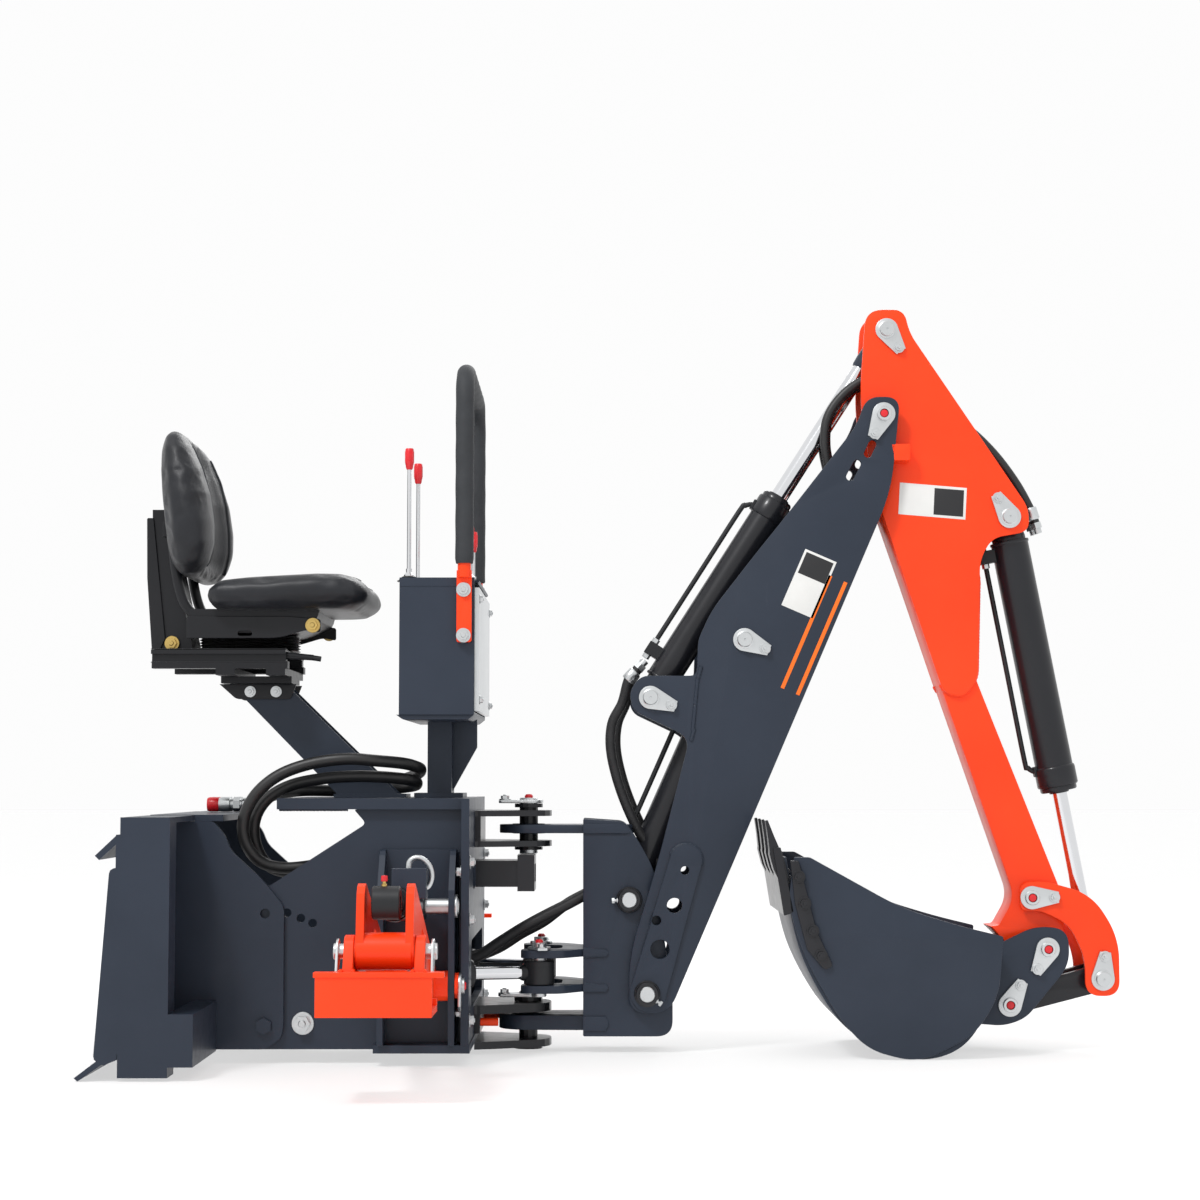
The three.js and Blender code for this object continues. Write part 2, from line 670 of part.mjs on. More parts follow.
// ---- stabilisers ----
function stabilizerBracket(side) {
  const inner = SIDE_Y[1] + GAP;
  const low = BOTTOM_Z[1] + GAP;
  const wall = outline([
    [side * inner, low], [side * 352, low, 8], [side * 356, 352, 30], [side * 300, 430, 30],
    [side * inner, 430],
  ]);
  const back = box([-490, -340], onSide(side, [inner, inner + 10]), [low, 430]);
  const walls = [[-492, -480], [-350, -338]].map((x) => plateYZ(wall, x));
  const pivots = [STAB_PIVOT, STAB_CYL_BASE];
  const holes = pivots.map((pivot) => stabBar(side, pivot, bore(PIN_R), [-500, -330]));
  add(`stabilizer_bracket_${sideName(side)}`, cut(join(back, ...walls), ...holes), GREY);
}

// along X at a [y, z] pivot on one side
function stabBar(side, [y, z], radius, x, sides = 12) {
  return bar([x[0], side * y, z], [x[1], side * y, z], radius, sides);
}

function stabilizerArm(side) {
  const flip = (circles) => circles.map(([y, z, r]) => [side * y, z, r]);
  const shape = wrapped(flip([[...STAB_PIVOT, 36], [...PAD_PIN, 32], [STAB_ROD[0] - 6, STAB_ROD[1], 34]]));
  const relief = wrapped(flip([[560, 246, 16], [700, 276, 20]]), 8);
  const hollow = plateYZ(relief, [-481, -375]);
  const plates = [[-479, -465], [-391, -377]].map((x) => cut(plateYZ(shape, x), hollow));
  const pivot = stabBar(side, STAB_PIVOT, 30, [-479.5, -350.5], 14);
  const boss = stabBar(side, PAD_PIN, 30, [-481, -375], 14);
  const pin = stabBar(side, STAB_PIVOT, PIN_R, [-500, -330]);
  const heads = [[-500, -493], [-337, -330]].map((x) => stabBar(side, STAB_PIVOT, 26, x));
  const padBore = stabBar(side, PAD_PIN, bore(PAD_PIN_R), [-490, -366]);
  const brace = box([-466, -390], onSide(side, [470, 482]), [176, 206]);
  const body = cut(join(...plates, pivot, boss, pin, brace, ...heads), padBore);
  add(`stabilizer_arm_${sideName(side)}`, body, ORANGE);
}

function stabilizerPad(side) {
  const ear = outline([
    [side * 812, 165], [side * 958, 165], [side * 958, 205], [side * 908, 296, 14], [side * 872, 296, 14],
    [side * 812, 205],
  ]);
  const ears = [[-500, -482], [-374, -356]].map((x) => plateYZ(ear, x));
  const base = box(PAD_X, onSide(side, [812, 960]), [156, 166]);
  const innerSkirt = box(PAD_X, onSide(side, [812, 822]), [156, 178]);
  const outerSkirt = box(PAD_X, onSide(side, [950, 960]), [156, 235]);
  const lip = box(PAD_X, onSide(side, [944, 960]), [227, 235]);
  const pin = stabBar(side, PAD_PIN, PAD_PIN_R, [-510, -346]);
  const heads = [[-510, -500], [-356, -346]].map((x) => stabBar(side, PAD_PIN, 22, x));
  const shoe = join(base, innerSkirt, outerSkirt, lip);
  add(`stabilizer_pad_${sideName(side)}`, join(shoe, ...ears, pin, ...heads), ORANGE);
}

function stabilizerCylinder(side) {
  const dy = side * (STAB_ROD[0] - STAB_CYL_BASE[0]);
  const dz = STAB_ROD[1] - STAB_CYL_BASE[1];
  const frame = new THREE.Group();
  frame.position.set(STAB_X, side * STAB_CYL_BASE[0], STAB_CYL_BASE[1]);
  // local +X runs out along the cylinder, and local Y runs along the pins
  const along = new THREE.Vector3(0, dy, dz).normalize();
  const across = new THREE.Vector3(1, 0, 0);
  const up = new THREE.Vector3().crossVectors(along, across);
  frame.quaternion.setFromRotationMatrix(new THREE.Matrix4().makeBasis(along, across, up));
  part.add(frame);
  const barrel = barrelBody({
    radius: 30, length: 400, bore: { gland: 16, tube: 24 }, eyeRadius: 28, eyeHalf: 32, floor: 50,
  });
  const pin = crossBar([0, 0], PIN_R, [-66, 92]);
  const heads = [[-72, -65], [91, 98]].map((y) => crossBar([0, 0], 24, y));
  add(`stabilizer_barrel_${sideName(side)}`, join(barrel, pin, ...heads), DARK, frame);
  const rodFrame = new THREE.Group();
  rodFrame.position.x = Math.hypot(dy, dz);
  frame.add(rodFrame);
  const rod = rodBody({ radius: 15, length: 335, piston: 23, eyeRadius: 30, eyeHalf: 25 });
  add(`stabilizer_rod_${sideName(side)}`, join(rod, crossBar([0, 0], 14, [-35, 35])), CHROME, rodFrame);
}

function stabilizers() {
  for (const side of [-1, 1]) {
    stabilizerBracket(side);
    stabilizerArm(side);
    stabilizerCylinder(side);
    stabilizerPad(side);
  }
}

// ---- operator station ----
function seatPost() {
  const tube = outline([[-599, 533.3], [-470, 533.3], [-718, 775], [-836, 775]]);
  const hollow = outline([[-592, 520], [-452, 520], [-727, 790], [-862, 790]]);
  const shell = cut(plateXZ(tube, [-45, 45]), plateXZ(hollow, [-39, 39]));
  const foot = box([-612, -458], [-60, 60], [TOP_Z[1] + GAP, TOP_Z[1] + 8]);
  add('seat_post', join(shell, foot), GREY);
}

function seatRails() {
  const bridge = box([-852, -702], [-70, 70], [775.3, 790]);
  const ties = [[-850, -810], [-745, -705]].map((x) => box(x, [-156, 156], [789, 804]));
  const rails = [-1, 1].map((side) => box([-984, -700], onSide(side, [124, 156]), [803, 818]));
  add('seat_rails', join(bridge, ...ties, ...rails), BLACK);
}

function seatFrame() {
  const sliders = [-1, 1].map((side) => box([-984, -704], onSide(side, [128, 152]), [818.4, 834]));
  const base = box([-985, -704], [-160, 160], [833, 842]);
  const back = outline([[-985, 836], [-913, 836], [-917, 860], [-977, 1146], [-1003, 1146], [-1001, 1000]]);
  const handle = join(
    bar([-706, -140, 832], [-648, -140, 826], 6, 10),
    bar([-704, -140, 832], [-740, -140, 834], 6, 10),
  );
  add('seat_frame', join(...sliders, base, plateXZ(back, [-62, 62]), handle), BLACK);
}

function seat() {
  const pan = outline([[-908, 927.7], [-634, 927.7], [-640, 905, 10], [-700, 878, 20], [-902, 878, 10]]);
  add('seat_pan', plateXZ(pan, [-150, 150]), BLACK);
  const cushion = outline([
    [-878, 928, 10], [-560, 928, 30], [-523, 950, 14], [-526, 985, 20], [-600, 1000, 40], [-770, 990, 40],
    [-878, 984, 16],
  ]);
  add('seat_cushion', plateXZ(cushion, [-222, 222]), VINYL);
  const rest = outline([
    [-938, 986, 12], [-886, 986, 14], [-862, 1090, 60], [-884, 1220, 60], [-926, 1322, 20],
    [-976, 1322, 24],
    [-972, 1180, 60],
  ]);
  const crown = outline([
    [-200, 980], [200, 980], [226, 1060, 40], [214, 1200, 60], [150, 1330, 70], [-150, 1330, 70],
    [-214, 1200, 60], [-226, 1060, 40],
  ]);
  const backrest = plateXZ(rest, [-226, 226]).intersect(plateYZ(crown, [-1000, -840]));
  add('seat_backrest', backrest, VINYL);
}

function controlConsole() {
  const shell = box([-460, -306], [-245, 245], [704, 986]);
  const hollow = box([-454, -300], [-239, 239], [710, 980]);
  const post = box([-414, -363], [-50, 50], [TOP_Z[1] + GAP, 705]);
  const postHollow = box([-408, -369], [-44, 44], [520, 720]);
  const gusset = plateXZ(outline([[-364, 705], [-311, 705], [-311, 640], [-364, 545]]), [-6, 6]);
  const foot = box([-440, -337], [-80, 80], [TOP_Z[1] + GAP, TOP_Z[1] + 10]);
  const slots = [-1, 1].map((side) => bar([-450, side * 126, 970], [-450, side * 126, 990], 5, 10));
  add('control_console', cut(join(shell, post, gusset, foot), hollow, postHollow, ...slots), GREY);
  add('console_cover', box([-305.7, -296], [-235, 235], [712, 966]), SHINY);
  const bank = join(box([-430, -340], [-190, 190], [760, 850]), box([-420, -350], [-180, 180], [849, 900]));
  const mount = box([-420, -350], [-200, 200], [710.3, 761]);
  add('valve_bank', join(bank, mount), BLACK);
}

function roundTube(points, radius, sides, steps) {
  const path = new THREE.CatmullRomCurve3(points.map(vector), false, 'centripetal');
  const section = new THREE.Shape();
  for (let i = 0; i < sides; i += 1) {
    const angle = (2 * Math.PI * i) / sides;
    const at = [radius * Math.cos(angle), radius * Math.sin(angle)];
    if (i === 0) {
      section.moveTo(...at);
    } else {
      section.lineTo(...at);
    }
  }
  return solid(new THREE.ExtrudeGeometry(section, { steps, extrudePath: path, bevelEnabled: false }));
}

// the supply and return hoses leave the front plate inside the frame, climb over the top plate,
// pass round the seat post and end in quick couplers on the adapter tray
const HOSE_R = 12.5;
const COUPLER_X = [-905, -824];
const HOSE_ROUTES = {
  upper: [
    [-326.6, -150, 415], [-420, -150, 415], [-520, -150, 408], [-620, -152, 396], [-700, -158, 388],
    [-752, -165, 402], [-782, -170, 442], [-786, -170, 490], [-762, -168, 540], [-715, -165, 580],
    [-650, -162, 604], [-575, -160, 614], [-510, -148, 610], [-460, -112, 605], [-436, -60, 598],
    [-432, 0, 592], [-444, 60, 583], [-484, 104, 570], [-545, 126, 557], [-620, 130, 548],
    [-700, 130, 547], [-760, 130, 538], [-800, 130, 522], [-826, 130, 517.5],
  ],
  lower: [
    [-326.6, -105, 415], [-420, -105, 412], [-520, -105, 402], [-620, -108, 386], [-700, -114, 378],
    [-745, -120, 396], [-768, -126, 440], [-768, -128, 490], [-742, -128, 532], [-692, -127, 560],
    [-622, -126, 574], [-560, -124, 578], [-510, -120, 577], [-464, -94, 573], [-442, -52, 568],
    [-440, 0, 563], [-450, 44, 558], [-486, 80, 553], [-545, 92, 548], [-620, 94, 547],
    [-700, 94, 547], [-760, 94, 538], [-800, 94, 522], [-826, 94, 517.5],
  ],
};

function supplyHoses() {
  for (const [level, route] of Object.entries(HOSE_ROUTES)) {
    const [, y, z] = route.at(-1);
    const coupler = bar([COUPLER_X[0], y, z], [COUPLER_X[1], y, z], 16.5, 10);
    add(`supply_hose_${level}`, join(roundTube(route, HOSE_R, 8, 34), coupler), RUBBER);
  }
}

function grabBar() {
  const x = -326;
  const top = 1417;
  const route = [
    [x, -255, 900], [x, -255, 1100], [x, -255, 1300], [x, -253, 1360], [x, -243, 1395], [x, -222, 1413],
    [x, -190, top], [x, 0, top], [x, 190, top], [x, 222, 1413], [x, 243, 1395], [x, 253, 1360],
    [x, 255, 1300], [x, 255, 1100], [x, 255, 900],
  ];
  const plates = [-1, 1].map((side) => box([-342, -311], onSide(side, [245.3, 257]), [852, 1012]));
  const clear = box([-400, -250], [-245.3, 245.3], [880, 1012]);
  add('grab_bar', cut(join(roundTube(route, 19, 8, 28), ...plates), clear), BLACK);
}

function lever(name, x, y, top) {
  const rod = bar([x, y, LEVER_Z], [x, y, top - 40], 4.5, 8);
  const knob = bar([x, y, top - 46], [x, y, top], 9, 10);
  const boot = solid(new THREE.SphereGeometry(14, 8, 6).translate(x, y, LEVER_Z));
  add(name, join(boot, rod, knob), CHROME);
}

function levers() {
  lever('arm_lever_near', -450, -126, 1269);
  lever('arm_lever_far', -450, 126, 1269);
  lever('stabilizer_lever_near', -325, -75, 1112);
  lever('stabilizer_lever_far', -325, 75, 1112);
}

quickAttach();
adapterPlates();
frameSides();
framePlates();
swingBrackets();
hoseGuide();
stabilizers();
seatPost();
seatRails();
seatFrame();
seat();
controlConsole();
grabBar();
supplyHoses();
levers();
mast();
swingCylinders();
boom();
dipper();
bucketLinkage();
bucket();
armCylinders();

export default part;
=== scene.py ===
"""A skid-steer backhoe attachment: the looks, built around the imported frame. Metres, +Z up, -Y near."""
import json
import math
import random

import bmesh
import bpy
from mathutils import Matrix, Vector


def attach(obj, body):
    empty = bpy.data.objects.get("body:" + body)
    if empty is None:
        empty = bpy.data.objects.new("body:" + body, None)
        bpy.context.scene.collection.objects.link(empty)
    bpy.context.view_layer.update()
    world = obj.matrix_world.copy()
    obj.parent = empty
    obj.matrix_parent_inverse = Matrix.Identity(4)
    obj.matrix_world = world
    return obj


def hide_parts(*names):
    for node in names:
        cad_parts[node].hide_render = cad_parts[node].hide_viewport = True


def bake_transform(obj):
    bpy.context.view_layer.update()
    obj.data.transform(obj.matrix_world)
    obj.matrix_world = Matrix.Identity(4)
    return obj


random.seed(5)
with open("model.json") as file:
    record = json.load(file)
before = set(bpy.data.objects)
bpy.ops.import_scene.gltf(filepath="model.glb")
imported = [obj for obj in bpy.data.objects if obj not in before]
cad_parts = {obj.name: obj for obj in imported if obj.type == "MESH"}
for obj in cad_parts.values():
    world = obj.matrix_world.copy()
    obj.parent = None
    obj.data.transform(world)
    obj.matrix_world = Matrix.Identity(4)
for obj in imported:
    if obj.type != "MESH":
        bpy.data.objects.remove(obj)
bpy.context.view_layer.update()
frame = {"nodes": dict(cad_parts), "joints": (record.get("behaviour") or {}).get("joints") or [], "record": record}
NODES = frame["nodes"]
MM = 0.001
SIDES = (-1, 1)
SIDE_NAME = {-1: "near", 1: "far"}


# ---------------------------------------------------------------- camera
LENS_MM = 73.95
SENSOR_MM = 36.0
EYE = (-0.0475, -5.3, 0.57)
TILT_UP = math.radians(4.18)


def make_camera():
    data = bpy.data.cameras.new("camera")
    data.lens = LENS_MM
    data.sensor_width = SENSOR_MM
    camera = bpy.data.objects.new("camera", data)
    bpy.context.scene.collection.objects.link(camera)
    camera.location = EYE
    camera.rotation_euler = (math.pi / 2 + TILT_UP, 0, 0)
    bpy.context.scene.camera = camera


make_camera()

# ---------------------------------------------------------------- places
JOINT = {joint["name"]: joint for joint in frame["joints"]}


def pivot(name):
    x, _, z = JOINT[name]["pos_m"]
    return (x, z)


BOOM_FOOT = pivot("boom_lift")
BOOM_CYL_BASE = pivot("boom_cylinder_tilt")
DIPPER_CYL_BASE = pivot("dipper_cylinder_tilt")
BOOM_TIP = pivot("dipper_crowd")
BUCKET_PIVOT = pivot("bucket_curl")
LINK_PIVOT = pivot("curved_link_swing")
LINK_END = pivot("bucket_link_turn")
BUCKET_CYL_BASE = pivot("bucket_cylinder_tilt")
BOOM_CYL_ROD = (0.258, 0.866)
DIPPER_CYL_ROD = (0.568, 1.535)
TIPPING_PIN = (0.812, 0.100)

# distances of the plates' inner and outer faces from the middle plane
MAST_Y = (0.068, 0.080)
BOOM_Y = (0.086, 0.098)
DOUBLER_Y = 0.106
DIPPER_Y = (0.050, 0.060)
LINK_Y = (0.061, 0.069)
EAR_Y = (0.071, 0.081)
BUCKET_Y = (0.197, 0.209)
PIN_R = 0.016


# ---------------------------------------------------------------- materials
class Surface:
    """A Principled material and short ways to wire its nodes."""

    def __init__(self, name):
        self.material = bpy.data.materials.new(name)
        self.material.use_nodes = True
        self.tree = self.material.node_tree
        self.shader = self.tree.nodes["Principled BSDF"]
        self.coords = self.node("ShaderNodeTexCoord").outputs["Object"]

    def node(self, kind, **values):
        made = self.tree.nodes.new(kind)
        for key, value in values.items():
            setattr(made, key, value)
        return made

    def link(self, source, target):
        self.tree.links.new(source, target)

    def set(self, **values):
        for key, value in values.items():
            self.shader.inputs[key.replace("_", " ")].default_value = value

    def noise(self, scale, detail=4.0, roughness=0.55, stretch=None):
        source = self.coords
        if stretch is not None:
            mapping = self.node("ShaderNodeMapping")
            mapping.inputs["Scale"].default_value = stretch
            self.link(self.coords, mapping.inputs["Vector"])
            source = mapping.outputs["Vector"]
        made = self.node("ShaderNodeTexNoise")
        made.inputs["Scale"].default_value = scale
        made.inputs["Detail"].default_value = detail
        made.inputs["Roughness"].default_value = roughness
        self.link(source, made.inputs["Vector"])
        return made.outputs["Fac"]

    def cells(self, scale, feature="F1"):
        made = self.node("ShaderNodeTexVoronoi", feature=feature)
        made.inputs["Scale"].default_value = scale
        self.link(self.coords, made.inputs["Vector"])
        return made.outputs["Distance"]

    def ramp(self, factor, low, high):
        """Maps factor onto greys: low and high are (position, grey)."""
        made = self.node("ShaderNodeValToRGB")
        first, last = made.color_ramp.elements
        first.position, first.color = low[0], (low[1],) * 3 + (1,)
        last.position, last.color = high[0], (high[1],) * 3 + (1,)
        self.link(factor, made.inputs["Fac"])
        return made.outputs["Color"]

    def mix(self, factor, a, b):
        made = self.node("ShaderNodeMix", data_type="RGBA")
        for value, socket in ((factor, made.inputs[0]), (a, made.inputs[6]), (b, made.inputs[7])):
            if isinstance(value, bpy.types.NodeSocket):
                self.link(value, socket)
            else:
                socket.default_value = (*value, 1.0)
        return made.outputs[2]

    def bump(self, height, strength, distance, base=None):
        made = self.node("ShaderNodeBump")
        made.inputs["Strength"].default_value = strength
        made.inputs["Distance"].default_value = distance
        self.link(height, made.inputs["Height"])
        if base is not None:
            self.link(base, made.inputs["Normal"])
        return made.outputs["Normal"]

    def color(self, socket):
        self.link(socket, self.shader.inputs["Base Color"])

    def rough(self, factor, low, high):
        made = self.node("ShaderNodeMapRange")
        made.inputs["To Min"].default_value = low
        made.inputs["To Max"].default_value = high
        self.link(factor, made.inputs["Value"])
        self.link(made.outputs["Result"], self.shader.inputs["Roughness"])

    def normal(self, socket):
        self.link(socket, self.shader.inputs["Normal"])


def scaled(color, by, plus=0.0):
    return tuple(min(1.0, channel * by + plus) for channel in color)


def painted(name, base, rough, coat, shine=0.3):
    """Powder-coated steel: orange peel, faint dust, scuffs and changes of tone."""
    s = Surface(name)
    tone = s.ramp(s.noise(3.5, 6), (0.35, 0.0), (0.7, 1.0))
    body = s.mix(tone, base, scaled(base, 1.2, 0.002))
    dust = s.ramp(s.noise(90, 8, 0.7), (0.60, 0.0), (0.8, 0.2))
    body = s.mix(dust, body, scaled(base, 1.25, 0.02))
    scuffs = s.ramp(s.noise(11, 9, 0.75, (1, 1, 0.35)), (0.66, 0.0), (0.76, 0.22))
    s.color(s.mix(scuffs, body, scaled(base, 1.5, 0.02)))
    s.rough(s.noise(40, 5), rough - 0.06, rough + 0.12)
    peel = s.bump(s.noise(520, 2), 0.12, 0.0006)
    s.normal(s.bump(s.noise(28, 3), 0.10, 0.0012, peel))
    s.set(Coat_Weight=coat, Coat_Roughness=0.12, Specular_IOR_Level=shine)
    return s.material


def plated(name, base, rough, stretch, strength):
    """Plated metal with fine directional marks."""
    s = Surface(name)
    marks = s.noise(60, 6, 0.6, stretch)
    s.color(s.mix(s.noise(6, 4), base, scaled(base, 0.8)))
    s.rough(marks, rough * 0.7, rough * 1.6)
    s.normal(s.bump(marks, strength, 0.0004))
    s.set(Metallic=1.0)
    return s.material


def vinyl():
    """Grained upholstery vinyl with soft random changes of tone."""
    s = Surface("black_vinyl")
    creases = s.ramp(s.cells(430, "DISTANCE_TO_EDGE"), (0.0, 0.0), (0.09, 1.0))
    tone = s.ramp(s.noise(9, 4), (0.35, 0.0), (0.75, 1.0))
    s.color(s.mix(tone, (0.006, 0.0068, 0.0095), (0.013, 0.0145, 0.019)))
    s.rough(s.noise(25, 4), 0.33, 0.46)
    fine = s.bump(creases, 0.25, 0.0005)
    s.normal(s.bump(s.noise(16, 4), 0.16, 0.003, fine))
    s.set(Sheen_Weight=0.04, Specular_IOR_Level=0.35)
    return s.material


def rubber(name, base, rough, texture):
    s = Surface(name)
    s.color(s.mix(s.noise(30, 5), base, scaled(base, 1.7, 0.002)))
    s.rough(s.noise(50, 4), rough - 0.06, rough + 0.1)
    s.normal(s.bump(s.noise(texture, 3), 0.3, 0.0006))
    return s.material


def braided(name):
    """Woven hose sleeve: two sets of fine diagonal threads."""
    s = Surface(name)
    s.color(s.mix(s.noise(24, 5), (0.006, 0.006, 0.007), (0.016, 0.016, 0.018)))
    s.rough(s.noise(40, 4), 0.5, 0.7)
    threads = s.noise(150, 1, 0.5, (1.0, 2.4, 2.4))
    creases = s.bump(s.noise(34, 4, 0.6, (1, 1, 0.45)), 0.6, 0.004)
    s.normal(s.bump(threads, 0.5, 0.001, creases))
    return s.material


def plastic(name, base, rough):
    s = Surface(name)
    s.color(s.mix(s.noise(12, 3), base, scaled(base, 0.8)))
    s.rough(s.noise(60, 4), rough, rough + 0.12)
    s.normal(s.bump(s.noise(300, 2), 0.06, 0.0004))
    return s.material


MATERIAL = {
    "grey_paint": painted("slate_paint", (0.020, 0.0275, 0.043), 0.4, 0.10, 0.22),
    "dark_paint": painted("near_black_paint", (0.008, 0.0085, 0.0115), 0.32, 0.2, 0.3),
    "orange_paint": painted("orange_paint", (0.86, 0.046, 0.004), 0.36, 0.12, 0.22),
    "black_paint": painted("black_paint", (0.0065, 0.007, 0.009), 0.42, 0.1, 0.25),
    "chrome_plate": plated("hard_chrome", (0.80, 0.81, 0.83), 0.1, (1, 1, 12), 0.05),
    "zinc_plate": plated("bright_zinc", (0.66, 0.68, 0.69), 0.32, (1, 8, 1), 0.15),
    "red_plastic": plastic("red_plastic", (0.74, 0.014, 0.022), 0.22),
    "vinyl": vinyl(),
    "hose_rubber": rubber("hose_rubber", (0.0085, 0.0085, 0.009), 0.42, 700),
    "foam": rubber("grip_foam", (0.016, 0.018, 0.021), 0.7, 420),
    "sleeve": braided("hose_sleeve"),
    "cast": painted("black_oxide", (0.013, 0.014, 0.016), 0.45, 0.05, 0.3),
    "gold": plated("gold_zinc", (0.66, 0.47, 0.16), 0.3, (1, 1, 1), 0.1),
    "label": plastic("label_film", (0.78, 0.78, 0.76), 0.35),
    "ink": plastic("label_ink", (0.012, 0.012, 0.014), 0.4),
    "band": painted("orange_film", (0.84, 0.15, 0.010), 0.4, 0.05),
}


# ---------------------------------------------------------------- shaping
def soften(obj, width, segments=2, angle=32):
    """Rounds an object's edges and keeps its flat faces flat."""
    bevel = obj.modifiers.new("edges", "BEVEL")
    bevel.width = width
    bevel.segments = segments
    bevel.limit_method = "ANGLE"
    bevel.angle_limit = math.radians(angle)
    bevel.use_clamp_overlap = True
    shade = obj.modifiers.new("shading", "WEIGHTED_NORMAL")
    shade.keep_sharp = True


def outline(corners, steps=8):
    """[x, z] or [x, z, reach] corners in millimetres, as a run of points in metres; a corner with a
    reach is rounded by a curve that starts that far from it."""
    points = []
    count = len(corners)
    for i, corner in enumerate(corners):
        here = Vector(corner[:2])
        before = Vector(corners[i - 1][:2]) - here
        after = Vector(corners[(i + 1) % count][:2]) - here
        reach = corner[2] if len(corner) > 2 else 0
        reach = min(reach, 0.45 * before.length, 0.45 * after.length)
        if reach == 0:
            points.append(here * MM)
            continue
        start = here + before.normalized() * reach
        end = here + after.normalized() * reach
        for step in range(steps + 1):
            t = step / steps
            points.append(((1 - t) ** 2 * start + 2 * t * (1 - t) * here + t * t * end) * MM)
    return points


def circle(center, radius, sides=28):
    """A closed run of points round a center, in metres."""
    turns = [2 * math.pi * i / sides for i in range(sides)]
    return [Vector((center[0] + radius * math.cos(a), center[1] + radius * math.sin(a))) for a in turns]


def wrapped(circles, sides=40):
    """The tight outline round several (x, z, radius) circles, in metres."""
    points = []
    for x, z, radius in circles:
        points.extend(circle((x, z), radius, sides))
    points.sort(key=lambda p: (p.x, p.y))

    def chain(run):
        kept = []
        for p in run:
            while len(kept) > 1 and (kept[-1] - kept[-2]).cross(p - kept[-2]) <= 1e-9:
                kept.pop()
            kept.append(p)
        return kept[:-1]

    return chain(points) + chain(points[::-1])


def smooth_run(points, per_gap=8):
    """A Catmull-Rom curve through points."""
    points = [Vector(p) for p in points]
    ends = [2 * points[0] - points[1], *points, 2 * points[-1] - points[-2]]
    run = []
    for a, b, c, d in zip(ends, ends[1:], ends[2:], ends[3:]):
        for step in range(per_gap):
            t = step / per_gap
            bend = 2 * a - 5 * b + 4 * c - d
            twist = 3 * b - a - 3 * c + d
            run.append(0.5 * (2 * b + (c - a) * t + bend * t * t + twist * t**3))
    run.append(points[-1])
    return run


